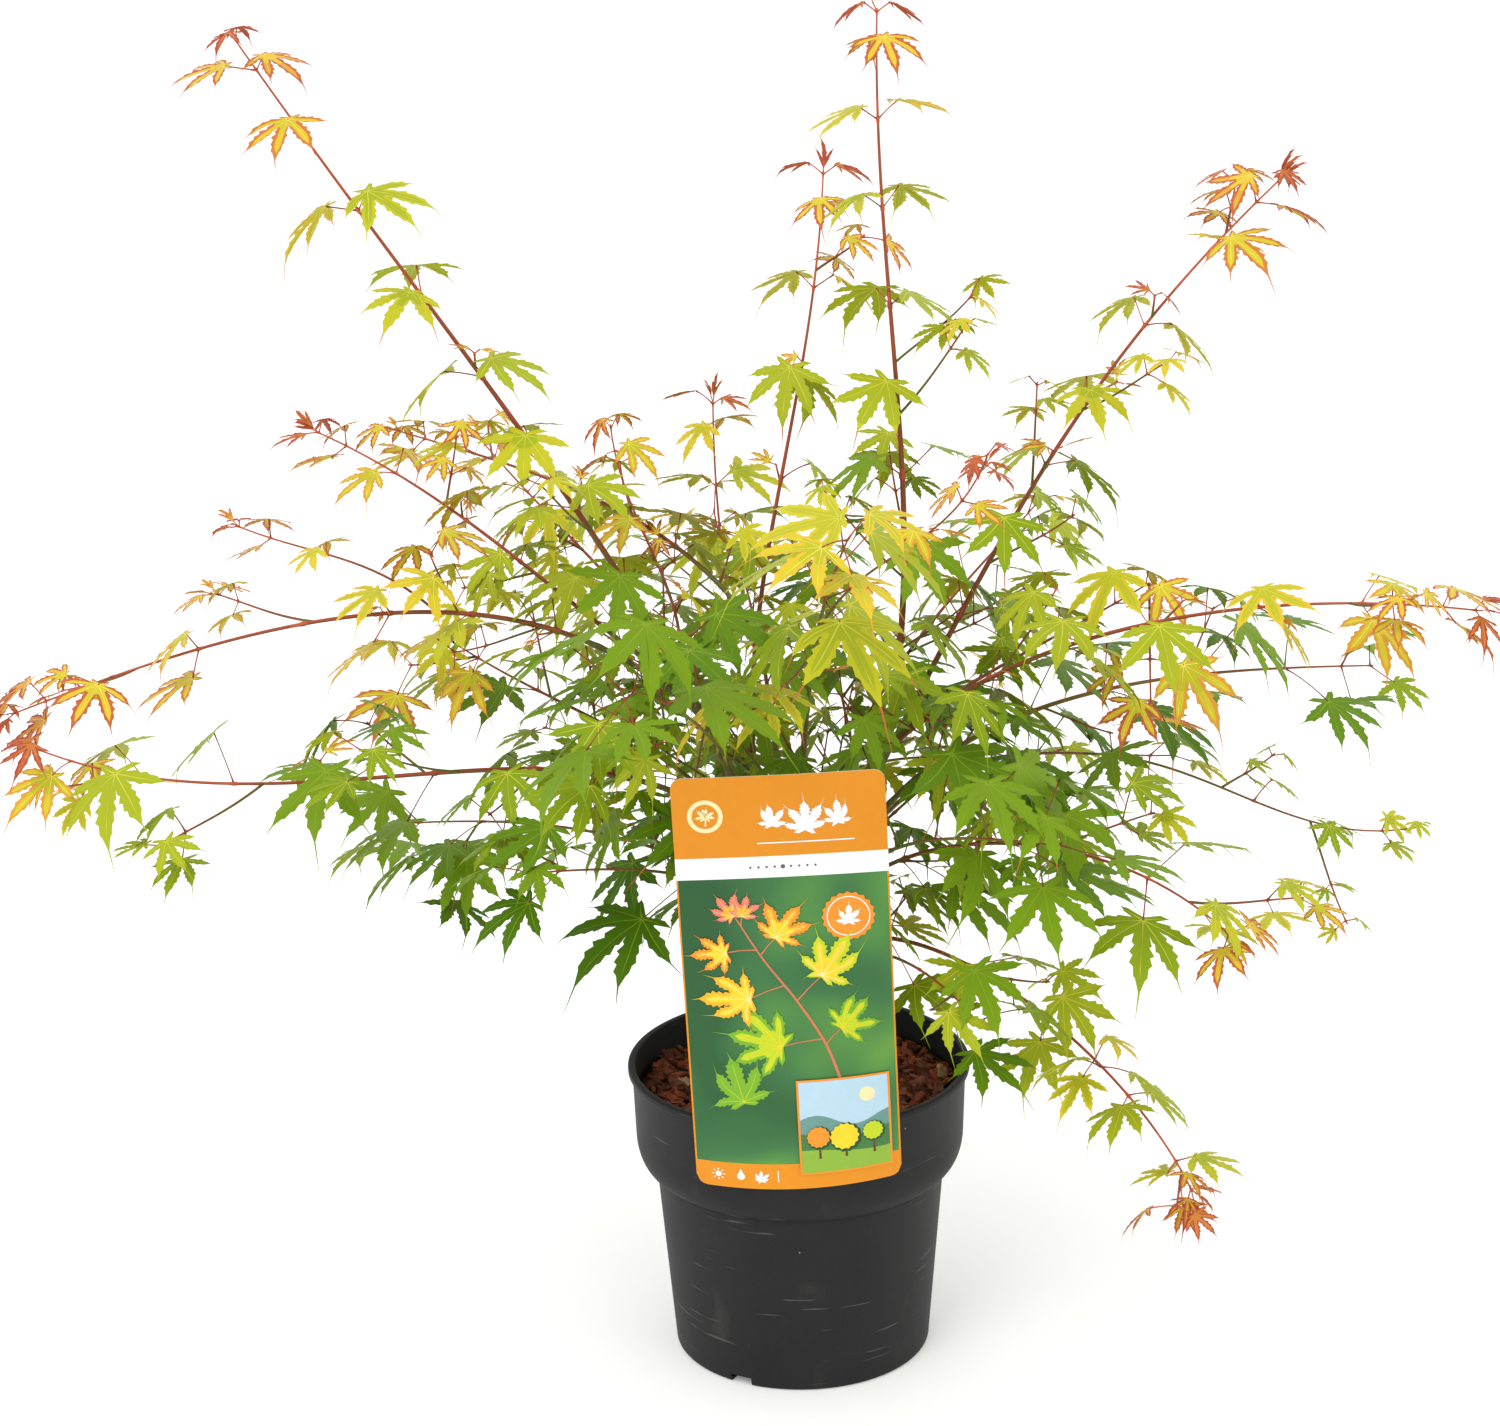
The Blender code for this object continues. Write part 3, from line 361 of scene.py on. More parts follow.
TUFT_OPENING = (0.15, 0.75)
TUFT_STALK = (0.0025, 0.006)

# Side twigs on a leafy stem: leaf pairs from the tip down at which one grows
SIDE_TWIGS = {
    "leader_left": (4, 6, 7), "leader_centre": (5, 7), "upper_right": (4, 5),
    "right_long": (2, 5), "right_mid": (2,), "right_cut": (3, 5), "right_low": (1, 3),
    "droop_right": (4,), "left_low": (3, 5), "left_mid": (2, 4, 6), "left_small": (2, 4),
    "left_arc": (2, 4), "second_centre": (4, 6), "back_left": (2, 4), "back_centre": (2, 3),
    "back_right": (2, 4), "right_far": (2,), "left_far": (2,),
}
TWIG_REACH = 0.075
TWIG_REACH_SPREAD = (0.75, 1.20)
TWIG_OPENING = 48.0
TWIG_TURN_SPREAD = 0.4
TWIG_LIFT = 0.010
TWIG_RISE = 8
TWIG_BARE_SHARE = 0.4
TWIG_LEAF_SCALE = 0.8
TWIG_BELOW_PAIR = 0.012
TWIG_PROBE_RADIUS = 0.001
TWIG_PROBES = (0.25, 0.6, 1.0)
TWIG_YOUTH = 1.7
TWIG_FADE = 1.1

# Which piece of foliage each limb's leaves are joined into, by the limb's heading
FOLIAGE_SIDES = {"left": (-180, -125), "front": (-125, -45), "right": (-45, 50),
                 "back": (50, 150), "left_back": (150, 181)}

# Rings and relief of bark, stems and stalks
STEM_SCAN = 0.0003
STEM_LAP = 0.003
STEM_SIDES = 6
STEM_RING_SPACING = 0.007
NODE_HALF_LENGTH = 0.0022
NODE_SWELLING = 1.35
TRUNK_SIDES = 28
BOUGH_SIDES = 12
BARK_RING_SPACING = 0.0022
BARK_COLLAR = 0.35
BARK_COLLAR_LENGTH = 1.6
BARK_KNOT = 0.22
BARK_KNOT_SPREAD = 0.0022
BARK_KNOTS = 8
BARK_FIRST_KNOT = 0.4
BARK_RELIEF = 0.10
RIDGE_SHARE = 0.65
LUMP_SHARE = 0.35
LIMB_LIMIT = 0.0045
PETIOLE_FREE_SHARE = 0.3

# Shape of a leaf: lobes as their angle from the middle one, their length as a share of it
# and their teeth on each side
LEAF_KINDS = {
    "full": dict(lobes=((0, 1.0, 4), (-37, 0.92, 4), (37, 0.92, 4), (-75, 0.70, 3),
                        (75, 0.70, 3), (-116, 0.36, 1), (116, 0.36, 1)),
                 wide=0.122, cut=0.29, folds=(-0.05, 0.35), margins=False, count=14),
    "flushed": dict(lobes=((0, 1.0, 4), (-38, 0.90, 4), (38, 0.90, 4), (-77, 0.64, 3),
                           (77, 0.64, 3), (-118, 0.22, 1), (118, 0.22, 1)),
                    wide=0.118, cut=0.27, folds=(0.0, 0.45), margins=True, count=12),
    "tip": dict(lobes=((0, 1.0, 3), (-30, 0.80, 3), (30, 0.80, 3), (-62, 0.42, 2),
                       (62, 0.42, 2)),
                wide=0.085, cut=0.20, folds=(0.3, 0.9), margins=True, count=8),
    "bud": dict(lobes=((0, 1.0, 2), (-19, 0.72, 2), (19, 0.72, 2)),
                wide=0.078, cut=0.30, folds=(0.5, 1.1), margins=False, count=6),
}
LOBE_WIDTHS = ((0.0, 0.58), (0.15, 0.80), (0.3, 0.96), (0.42, 1.0), (0.56, 0.92),
               (0.70, 0.68), (0.82, 0.40), (0.92, 0.18), (1.0, 0.08))
LEAF_SAG = (0.10, 0.24)
LEAF_HUB = 0.020
LEAF_OPEN_DEPTH = 0.05
LOBE_LEAST_FOOT = 0.16
LOBE_TURN_SPREAD = 2.5
LOBE_LENGTH_SPREAD = (0.92, 1.06)
LOBE_SWAY = 0.14
LOBE_SHOULDER = 0.82
TOOTH_REACH = (1.08, 1.24)
TOOTH_NOTCH = 0.84
TOOTH_PLACE = (0.70, 0.84)
TOOTH_CROWDING = 0.92
TOOTH_LIFT = 0.006
RIB_HALF_WIDTH = 0.0075
TAIL_HALF_WIDTH = 0.011
TAIL_LENGTH = (0.08, 0.26)
TAIL_DROP = 0.9
TAIL_DROP_FROM = 0.72
TAIL_FROM = 0.93
TAIL_SWAY = 0.015
TAIL_ROOM = 1.3
MARGIN_SHARE = 0.56
LEAF_TRIES = 3
RETRY_SCALE = 0.93
RETRY_DROOP = (-10, 14)
RETRY_ROLL = (-14, 14)
RETRY_SWING = (-0.35, 0.35)
MISSING_SHARE = 0.13

# How a leaf's kind and tints follow from its age, which grows the younger it is
LEAF_AGE_SPREAD = 0.45
SINGED_SHARE = 0.22
SINGED_AGE = 10.6
OLD_STALK_UNDER = 4.5
FULL_UNDER = 5.3
FLUSHED_UNDER = 9.8
FLUSH_FROM = 5.0
FLUSH_OVER = 2.6
HEART_BEHIND = 0.9
BLADE_BEHIND = 0.2
MARGIN_AHEAD = 2.3
TAIL_AHEAD = 3.4
GREEN_RIB_UNDER = 3.6
LIME_RIB_UNDER = 6.4
NO_RIB_FROM = 10.4

# Fine twigs that fill the crown's heart
FINE_FROM = 0.12
FINE_TO = 0.78
FINE_SPACING = 0.062
FINE_PROBES = (0.3, 0.65, 1.0)
FINE_HIGHEST = 0.46
FINE_FURTHEST = 0.20
FINE_REACH = (0.026, 0.066)
FINE_OUTSIDE = 0.24
FINE_OUTSIDE_SCALE = 0.75
FINE_OUTWARD = 0.8
FINE_FORWARD = 0.5
FINE_LIFT = 0.15
FINE_PROBE_RADIUS = 0.0006
FINE_PAIRS_DOWN = (0.002, 0.024)
FINE_BLADES = (0.55, 0.90)
FINE_AGES = (-0.5, 0.8)
FINE_TIP_AGE = 0.7
FINE_DROOP = (10, 50)
FINE_ROLL = (-30, 30)
FINE_SWING = (-0.5, 0.5)
FINE_RETRY_SCALE = 0.9
FINE_GAPS = (0.7, 1.3)
FINE_PETIOLE = (0.4, 0.7)

# Tints of a leaf from the oldest to the youngest
LEAF_TINTS = (
    ("leaf_deep", ink(62, 98, 6)),
    ("leaf_dark", ink(76, 114, 8)),
    ("leaf_green", ink(94, 130, 10)),
    ("leaf_mid", ink(112, 144, 14)),
    ("leaf_fresh", ink(134, 156, 20)),
    ("leaf_light", ink(160, 170, 28)),
    ("leaf_lime", ink(184, 182, 34)),
    ("leaf_lemon", ink(204, 190, 42)),
    ("leaf_straw", ink(216, 184, 50)),
    ("leaf_gold", ink(210, 152, 52)),
    ("leaf_amber", ink(198, 122, 54)),
    ("leaf_orange", ink(186, 98, 54)),
    ("leaf_red", ink(170, 74, 52)),
)
RIB_TINTS = (("rib_green", ink(132, 158, 38)), ("rib_lime", ink(200, 200, 66)),
             ("rib_pale", ink(234, 214, 90)))
STEM_TINTS = (("stem_moss", ink(98, 104, 26)), ("stem_olive", ink(112, 88, 34)),
              ("stem_russet", ink(126, 66, 36)), ("stem_copper", ink(154, 72, 40)),
              ("stem_red", ink(184, 86, 52)))

# How red a stem or stalk is, from 0 to 1: at its foot, and what is added for a shoot with
# young leaves, towards its tip, on its upper side and near a node
STEM_REDNESS = 0.18
STEM_YOUNG_FROM = 8.0
STEM_YOUNG_REDDER = 0.045
STEM_TIP_REDDER = 0.52
STEM_TOP_REDDER = 0.24
NODE_REDDER = 0.16
PETIOLE_REDNESS = 0.34
PETIOLE_YOUNG_REDDER = 0.06
PETIOLE_TOP_REDDER = 0.12
PETIOLE_SPREAD = 0.14
PETIOLE_WIDTHS = (1.9, 1.1, 1.0, 1.0, 1.05, 1.5)
PETIOLE_BEND = (-0.04, 0.14)


class Value:
    """A shader socket that takes part in sums."""

    def __init__(self, finish, socket):
        self.finish = finish
        self.socket = socket

    def sum(self, operation, first, second):
        return self.finish.node("ShaderNodeMath", {"operation": operation},
                                {0: first, 1: second})

    def __add__(self, other):
        return self.sum("ADD", self, other)

    def __mul__(self, other):
        return self.sum("MULTIPLY", self, other)

    __radd__ = __add__
    __rmul__ = __mul__


class Finish:
    """One material on a Principled shader, and the nodes that feed it."""

    def __init__(self, name, colour, roughness, specular=0.5):
        self.material = bpy.data.materials.new(name)
        self.material.use_nodes = True
        self.tree = self.material.node_tree
        self.shader = self.tree.nodes["Principled BSDF"]
        self.shader.inputs["Base Color"].default_value = (*colour, 1.0)
        self.shader.inputs["Roughness"].default_value = roughness
        self.shader.inputs["Specular IOR Level"].default_value = specular
        self.material.diffuse_color = (*colour, 1.0)

    def node(self, kind, settings=None, values=None, output=0):
        """A node with its settings made first, then its sockets filled or linked."""
        made = self.tree.nodes.new(kind)
        for name, setting in (settings or {}).items():
            if name == "stops":
                ramp = made.color_ramp.elements
                for number, (place, colour) in enumerate(setting):
                    stop = ramp[number] if number < 2 else ramp.new(place)
                    stop.position = place
                    stop.color = (*colour, 1.0)
            else:
                setattr(made, name, setting)
        for key, value in (values or {}).items():
            socket = made.inputs[key]
            if isinstance(value, Value):
                self.tree.links.new(value.socket, socket)
            else:
                socket.default_value = value
        return Value(self, made.outputs[output])

    def place(self):
        """Object coordinates, which are metres in the model's own frame."""
        return self.node("ShaderNodeTexCoord", output="Object")

    def stretched(self, scale):
        """Object coordinates multiplied along each axis."""
        return self.node("ShaderNodeMapping", None, {"Vector": self.place(), "Scale": scale})

    def grain(self, scale, detail=2.0, where=None):
        """Noise from 0 to 1."""
        return self.node("ShaderNodeTexNoise", None,
                         {"Vector": where or self.place(), "Scale": scale,
                          "Detail": detail}, "Fac")

    def ramp(self, value, stops):
        return self.node("ShaderNodeValToRGB", {"stops": stops}, {"Fac": value})

    def feed(self, socket, value):
        self.tree.links.new(value.socket, self.shader.inputs[socket])

    def bump(self, height, distance, strength=1.0):
        self.feed("Normal", self.node("ShaderNodeBump", None,
                                      {"Height": height, "Distance": distance,
                                       "Strength": strength}))


def pot_plastic():
    """Matte black moulded plastic with dust, faint scuffs and a fine grain."""
    finish = Finish("pot_plastic", ink(28, 28, 29), 0.55, 0.22)
    dust = finish.grain(26.0, 4.0)
    scuffs = finish.grain(60.0, 3.0, finish.stretched((1.0, 1.0, 0.16)))
    cloud = dust * 0.7 + scuffs * 0.3
    plastic = finish.ramp(cloud, ((0.30, ink(24, 24, 25)), (0.60, ink(31, 31, 32)),
                                  (0.80, ink(62, 60, 58))))
    specks = finish.node("ShaderNodeTexVoronoi", None,
                         {"Vector": finish.place(), "Scale": 40.0}, "Distance")
    speck = finish.node("ShaderNodeMapRange", {"clamp": True},
                        {"Value": specks, "From Min": 0.012, "From Max": 0.022,
                         "To Min": 0.8, "To Max": 0.0})
    hairs = finish.grain(75.0, 2.0, finish.stretched((0.3, 0.3, 5.0)))
    scratch = finish.node("ShaderNodeMapRange", {"clamp": True},
                          {"Value": hairs, "From Min": 0.69, "From Max": 0.73,
                           "To Min": 0.0, "To Max": 0.18})
    marked = finish.node("ShaderNodeMix", {"data_type": "RGBA"},
                         {"Factor": speck + scratch, "A": plastic,
                          "B": (*ink(150, 148, 144), 1.0)}, "Result")
    finish.feed("Base Color", marked)
    finish.feed("Roughness", 0.46 + cloud * 0.26)
    finish.bump(finish.grain(1500.0, 2.0), 0.00012, 0.5)
    return finish.material


def potting_mix():
    """Dark crumbly potting mix under the bark chips."""
    finish = Finish("potting_mix", ink(46, 26, 18), 0.9, 0.2)
    crumbs = finish.grain(420.0, 5.0)
    finish.feed("Base Color", finish.ramp(crumbs, ((0.3, ink(22, 12, 8)),
                                                   (0.7, ink(78, 44, 28)))))
    finish.bump(crumbs, 0.0015)
    return finish.material


def bark_chip(name, dark, light):
    """A bark chip with the grain of torn wood."""
    finish = Finish(name, light, 0.75, 0.3)
    grain = finish.grain(320.0, 4.0, finish.stretched((1.0, 0.35, 1.6)))
    finish.feed("Base Color", finish.ramp(grain, ((0.3, dark), (0.68, light))))
    finish.bump(grain, 0.0006)
    return finish.material


def young_bark():
    """Smooth olive bark that turns brown in patches, with pale corky dots."""
    finish = Finish("young_bark", ink(104, 96, 40), 0.55, 0.4)
    patches = finish.grain(38.0, 3.0, finish.stretched((1.0, 1.0, 0.35)))
    streaks = finish.grain(700.0, 3.0, finish.stretched((1.0, 1.0, 0.08)))
    tone = patches * 0.72 + streaks * 0.28
    dots = finish.node("ShaderNodeTexVoronoi", None,
                       {"Vector": finish.stretched((1.0, 1.0, 0.6)), "Scale": 330.0},
                       "Distance")
    corky = finish.node("ShaderNodeMapRange", {"clamp": True},
                        {"Value": dots, "From Min": 0.10, "From Max": 0.20,
                         "To Min": 0.55, "To Max": 0.0})
    bark = finish.ramp(tone, ((0.30, ink(70, 66, 24)), (0.50, ink(102, 100, 38)),
                              (0.66, ink(122, 84, 48)), (0.80, ink(86, 58, 38))))
    mixed = finish.node("ShaderNodeMix", {"data_type": "RGBA"},
                        {"Factor": corky, "A": bark, "B": (*ink(168, 140, 96), 1.0)},
                        "Result")
    finish.feed("Base Color", mixed)
    finish.feed("Roughness", 0.45 + tone * 0.25)
    finish.bump(streaks * 0.6 + corky * 0.8, 0.0004)
    return finish.material


def card_ink(name, colour, speck=0.05):
    """Printed colour with the faint unevenness of ink on coated card."""
    finish = Finish(name, colour, 0.38, 0.2)
    mottle = finish.grain(180.0, 3.0)
    dark = tuple(c * (1 - speck) for c in colour)
    light = tuple(min(1.0, c * (1 + speck)) for c in colour)
    finish.feed("Base Color", finish.ramp(mottle, ((0.3, dark), (0.7, light))))
    finish.feed("Roughness", 0.30 + mottle * 0.10)
    return finish.material


def card_field():
    """Blurred greens, as of a garden far behind the focus."""
    finish = Finish("card_field", ink(70, 118, 72), 0.38, 0.2)
    blur = finish.grain(15.0, 1.0)
    finish.feed("Base Color", finish.ramp(blur, ((0.34, ink(46, 92, 52)),
                                                 (0.50, ink(62, 114, 66)),
                                                 (0.60, ink(84, 140, 66)),
                                                 (0.72, ink(130, 172, 60)))))
    finish.feed("Roughness", 0.30 + blur * 0.08)
    return finish.material


class Heap:
    """Points and faces of many small shapes, made into one piece at the end."""

    def __init__(self):
        self.points = []
        self.faces = []
        self.tints = []

    def add(self, points, faces, tints):
        base = len(self.points)
        self.points.extend(points)
        self.faces.extend(tuple(base + k for k in face) for face in faces)
        self.tints.extend(tints)

    def piece(self, name, finishes, smooth=True):
        mesh = bpy.data.meshes.new(name)
        mesh.from_pydata(self.points, [], self.faces)
        for finish in finishes:
            mesh.materials.append(finish)
        mesh.polygons.foreach_set("material_index", self.tints)
        mesh.polygons.foreach_set("use_smooth", [smooth] * len(self.faces))
        mesh.update()
        piece = bpy.data.objects.new(name, mesh)
        bpy.context.scene.collection.objects.link(piece)
        return piece


def settle(piece, slot, *nodes):
    """The piece rides with the model and stands for the nodes."""
    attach(piece, "root")
    if nodes:
        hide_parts(*nodes)
    return piece


def finish_with(piece, *finishes):
    piece.data.materials.clear()
    for finish in finishes:
        piece.data.materials.append(finish)


# Camera, lights and floor
def make_camera():
    data = bpy.data.cameras.new("camera")
    data.sensor_width = SENSOR_WIDTH
    data.lens = FOCAL_PIXELS * SENSOR_WIDTH / FRAME_WIDTH
    camera = bpy.data.objects.new("camera", data)
    turn = (Matrix.Rotation(math.radians(-CAMERA_YAW), 4, "Z")
            @ Matrix.Rotation(math.radians(90 + CAMERA_PITCH), 4, "X")
            @ Matrix.Rotation(math.radians(CAMERA_ROLL), 4, "Z"))
    camera.matrix_world = Matrix.Translation(CAMERA_PLACE) @ turn
    bpy.context.scene.collection.objects.link(camera)
    bpy.context.scene.camera = camera


def make_light(name, place, size, power):
    """A soft square light that faces the middle of the plant."""
    data = bpy.data.lights.new(name, "AREA")
    data.size = size
    data.energy = power
    light = bpy.data.objects.new(name, data)
    light.location = place
    aim = Vector(LIGHT_AIM) - Vector(place)
    light.rotation_euler = aim.to_track_quat("-Z", "Y").to_euler()
    bpy.context.scene.collection.objects.link(light)


def make_stage():
    """A pale floor that reaches past the frame, under an even white sky."""
    bpy.ops.mesh.primitive_plane_add(size=FLOOR_SIZE, location=(0.0, 0.0, 0.0))
    floor = bpy.context.object
    floor.name = "floor"
    paint = Finish("floor_paint", (0.95, 0.95, 0.95), 0.8, 0.1)
    paint.shader.inputs["Emission Color"].default_value = (1.0, 1.0, 1.0, 1.0)
    paint.shader.inputs["Emission Strength"].default_value = FLOOR_GLOW
    finish_with(floor, paint.material)
    world = bpy.data.worlds.new("sky")
    world.use_nodes = True
    sky = world.node_tree.nodes["Background"]
    sky.inputs["Color"].default_value = (1.0, 1.0, 1.0, 1.0)
    sky.inputs["Strength"].default_value = SKY_STRENGTH
    bpy.context.scene.world = world
    for light in LIGHTS:
        make_light(*light)
    bpy.context.scene.view_settings.view_transform = "Standard"


# Pot and soil
def rise_ring(old, new):
    """Pull the selected ring of edges to a new radius and height."""
    bpy.ops.mesh.extrude_edges_move(TRANSFORM_OT_translate={"value": (0, 0, new[1] - old[1])})
    scale = new[0] / old[0]
    bpy.ops.transform.resize(value=(scale, scale, 1.0), center_override=(0.0, 0.0, new[1]))


def turned_piece(name, profile, sides):
    """A piece turned round Z: a first disc, then rings pulled up from it one by one."""
    bpy.ops.mesh.primitive_circle_add(vertices=sides, radius=profile[0][0],
                                      fill_type="NGON", location=(0, 0, profile[0][1]))
    piece = bpy.context.object
    piece.name = piece.data.name = name
    bpy.ops.object.transform_apply(location=True, rotation=False, scale=False)
    bpy.ops.object.mode_set(mode="EDIT")
    bpy.ops.mesh.select_mode(type="EDGE")
    bpy.ops.mesh.select_all(action="SELECT")
    for old, new in zip(profile, profile[1:]):
        rise_ring(old, new)
    bpy.ops.mesh.edge_face_add()
    bpy.ops.mesh.select_all(action="SELECT")
    bpy.ops.mesh.normals_make_consistent(inside=False)
    bpy.ops.object.mode_set(mode="OBJECT")
    bpy.ops.object.shade_smooth_by_angle(angle=SMOOTH_ANGLE)
    return piece


def arc(centre, radius, first, last, steps):
    """Points on an arc in the plane of a profile, angles in degrees from outward."""
    angles = [math.radians(first + (last - first) * k / steps) for k in range(steps + 1)]
    return [(centre[0] + radius * math.cos(a), centre[1] + radius * math.sin(a))
            for a in angles]


def pot_profile():
    """The pot's section from its underside up the outside and down the inside."""
    collar_top = RIM_RADIUS - LIP_OVERHANG
    collar_foot = collar_top - COLLAR_TAPER
    inward = collar_foot - COLLAR_STEP_RADIUS
    bend = COLLAR_FOOT_Z - COLLAR_STEP_Z
    shoulder = [(collar_foot - inward * (1 - math.cos(turn)),
                 COLLAR_FOOT_Z - bend * math.sin(turn))
                for turn in [math.pi / 2 * k / SHOULDER_STEPS
                             for k in range(SHOULDER_STEPS, -1, -1)]]
    step_foot = COLLAR_STEP_Z - STEP_DROP
    base = arc((BASE_RADIUS - 0.0002, BASE_ROUNDING), BASE_ROUNDING, -90, -8, 5)
    lip_foot = POT_HEIGHT - LIP_HEIGHT
    low, high, inner = LIP_ROUNDINGS
    lip_low = arc((RIM_RADIUS - low, lip_foot + low), low, -80, 0, 3)
    lip_high = arc((RIM_RADIUS - high, POT_HEIGHT - high), high, 0, 90, 4)
    inside = collar_top - POT_WALL
    lip_in = arc((inside + inner, POT_HEIGHT - inner), inner, 90, 180, 3)
    neck = BODY_TOP_RADIUS - POT_WALL
    return (base + [(BODY_FOOT_RADIUS, BODY_FOOT_Z), (BODY_TOP_RADIUS, step_foot - 0.0012),
                    (BODY_TOP_RADIUS + 0.0003, step_foot - 0.0003),
                    (COLLAR_STEP_RADIUS, step_foot)]
            + shoulder + [(collar_top - 0.0002, lip_foot - 0.0012),
                          (collar_top + 0.0002, lip_foot - 0.0003)]
            + lip_low + lip_high + lip_in
            + [(inside - COLLAR_TAPER, COLLAR_FOOT_Z), (neck, COLLAR_STEP_Z),
               (BODY_FOOT_RADIUS - POT_WALL, POT_WALL)])


def make_pot():
    """Thin-walled nursery pot with a rolled lip, a collar, a step and drain slots."""
    pot = turned_piece("pot_shell", pot_profile(), POT_SIDES)
    for number in range(DRAIN_COUNT):
        angle = math.radians(DRAIN_FIRST_ANGLE + number * 360.0 / DRAIN_COUNT)
        middle = (BODY_FOOT_RADIUS * math.cos(angle), BODY_FOOT_RADIUS * math.sin(angle), 0)
        bpy.ops.mesh.primitive_cube_add(size=1.0, location=middle, rotation=(0, 0, angle),
                                        scale=DRAIN_SIZE)
        cutter = bpy.context.object
        cut = pot.modifiers.new("drain", "BOOLEAN")
        cut.operation = "DIFFERENCE"
        cut.solver = "EXACT"
        cut.object = cutter
        bpy.context.view_layer.objects.active = pot
        bpy.ops.object.modifier_apply(modifier=cut.name)
        bpy.data.objects.remove(cutter, do_unlink=True)
    bpy.ops.object.select_all(action="DESELECT")
    pot.select_set(True)
    bpy.ops.object.shade_smooth_by_angle(angle=SMOOTH_ANGLE)
    finish_with(pot, pot_plastic())
    settle(pot, "pot_plastic", "pot")


def make_soil():
    """Plug of potting mix with a crumbly top, sunk a little at the wall."""
    rings = [(SOIL_RADIUS - 0.014, COLLAR_STEP_Z - 0.03), (SOIL_RADIUS - 0.013, COLLAR_STEP_Z)]
    rings += [(SOIL_RADIUS, COLLAR_FOOT_Z), (SOIL_RADIUS, SOIL_TOP_Z - 0.004)]
    rings += [(SOIL_RADIUS * k / SOIL_RINGS, SOIL_TOP_Z - SOIL_SINK)
              for k in range(SOIL_RINGS - 1, 0, -1)]
    soil = turned_piece("soil_plug", rings, SOIL_SIDES)
    for vert in soil.data.vertices:
        if vert.co.z > SOIL_TOP_Z - 0.003:
            vert.co.z += sum(noise.noise(vert.co * scale) * rise for scale, rise in SOIL_LUMPS)
    finish_with(soil, potting_mix())
    settle(soil, "bark_mulch", "soil")


def chip_shapes(chance):
    """A few torn chips: bevelled blocks with their corners pulled about."""
    shapes = []
    for width, height in CHIP_SECTIONS:
        bpy.ops.mesh.primitive_cube_add(size=1.0)
        chip = bpy.context.object
        chip.scale = (1.0, width, height)
        bpy.ops.object.transform_apply(location=False, rotation=False, scale=True)
        bpy.ops.object.mode_set(mode="EDIT")
        bpy.ops.mesh.select_all(action="SELECT")
        bpy.ops.mesh.bevel(offset=height * CHIP_BEVEL, segments=1)
        bpy.ops.object.mode_set(mode="OBJECT")
        points = [vert.co + Vector((chance.uniform(-0.1, 0.1), chance.uniform(-0.1, 0.1),
                                    chance.uniform(-0.05, 0.05))) for vert in chip.data.vertices]
        faces = [tuple(face.vertices) for face in chip.data.polygons]
        shapes.append((points, faces))
        bpy.data.objects.remove(chip, do_unlink=True)
    return shapes


def make_chips():
    """Bark chips lying all over the mix, tipped against each other."""
    chance = random.Random("bark chips")
    shapes = chip_shapes(chance)
    heap = Heap()
    for _ in range(CHIP_COUNT):
        length = chance.uniform(*CHIP_LENGTH) * chance.uniform(0.7, 1.0)
        reach = (SOIL_RADIUS - 0.001 - length * 0.5) * math.sqrt(chance.random())
        angle = chance.uniform(0, math.tau)
        points, faces = shapes[chance.randrange(len(shapes))]
        turn = (Matrix.Rotation(chance.uniform(0, math.tau), 3, "Z")
                @ Matrix.Rotation(chance.gauss(0, CHIP_TILTS[0]), 3, "X")
                @ Matrix.Rotation(chance.gauss(0, CHIP_TILTS[1]), 3, "Y"))
        middle = Vector((reach * math.cos(angle), reach * math.sin(angle),
                         SOIL_TOP_Z - CHIP_DEPTH + chance.uniform(0, CHIP_DEPTH)))
        tint = chance.choices(range(len(CHIP_SHARES)), CHIP_SHARES)[0]
        heap.add([middle + turn @ (p * length) for p in points], faces, [tint] * len(faces))
    finishes = [bark_chip(*inks) for inks in CHIP_INKS]
    settle(heap.piece("bark_chips", finishes, smooth=False), "bark_mulch")


# Card
def card_point(across, up, depth=0.0):
    """A point of the card: across and up its face in metres, depth behind it."""
    share = up / CARD_HEIGHT
    bow = CARD_BOW_FOOT + (CARD_BOW_TOP - CARD_BOW_FOOT) * min(1.0, share / CARD_BOW_SHARE)
    tuck = CARD_FOOT_TUCK * max(0.0, 1.0 - share / CARD_TUCK_SHARE)
    lean = CARD_LEAN * max(0.0, share - CARD_LEAN_FROM) ** 1.5
    turn = math.radians(CARD_TURN)
    x = CARD_CENTRE_X + across * math.cos(turn) - up * math.sin(turn)
    z = CARD_FOOT_Z + up * math.cos(turn) + across * math.sin(turn)
    y = -CARD_FRONT + tuck - lean + bow * across * across + depth
    return Vector((x, y, z))


def rounded(across, up):
    """The same place on a card whose corners are rounded, squares turned to arcs."""
    half = CARD_WIDTH / 2
    side = math.copysign(1.0, across)
    high = up > CARD_HEIGHT / 2
    out = abs(across) - (half - CARD_CORNER)
    over = (up - (CARD_HEIGHT - CARD_CORNER)) if high else (CARD_CORNER - up)
    if out <= 0 or over <= 0:
        return across, up
    pull = max(out, over) / math.hypot(out, over)
    across = side * (half - CARD_CORNER + out * pull)
    up = (CARD_HEIGHT - CARD_CORNER + over * pull) if high else (CARD_CORNER - over * pull)
    return across, up


def steps_between(marks, spacing):
    """Places from mark to mark, evenly spaced and no further apart than the spacing."""
    places = [marks[0]]
    for low, high in zip(marks, marks[1:]):
        count = max(1, math.ceil((high - low) / spacing))
        places += [low + (high - low) * k / count for k in range(1, count + 1)]
    return places


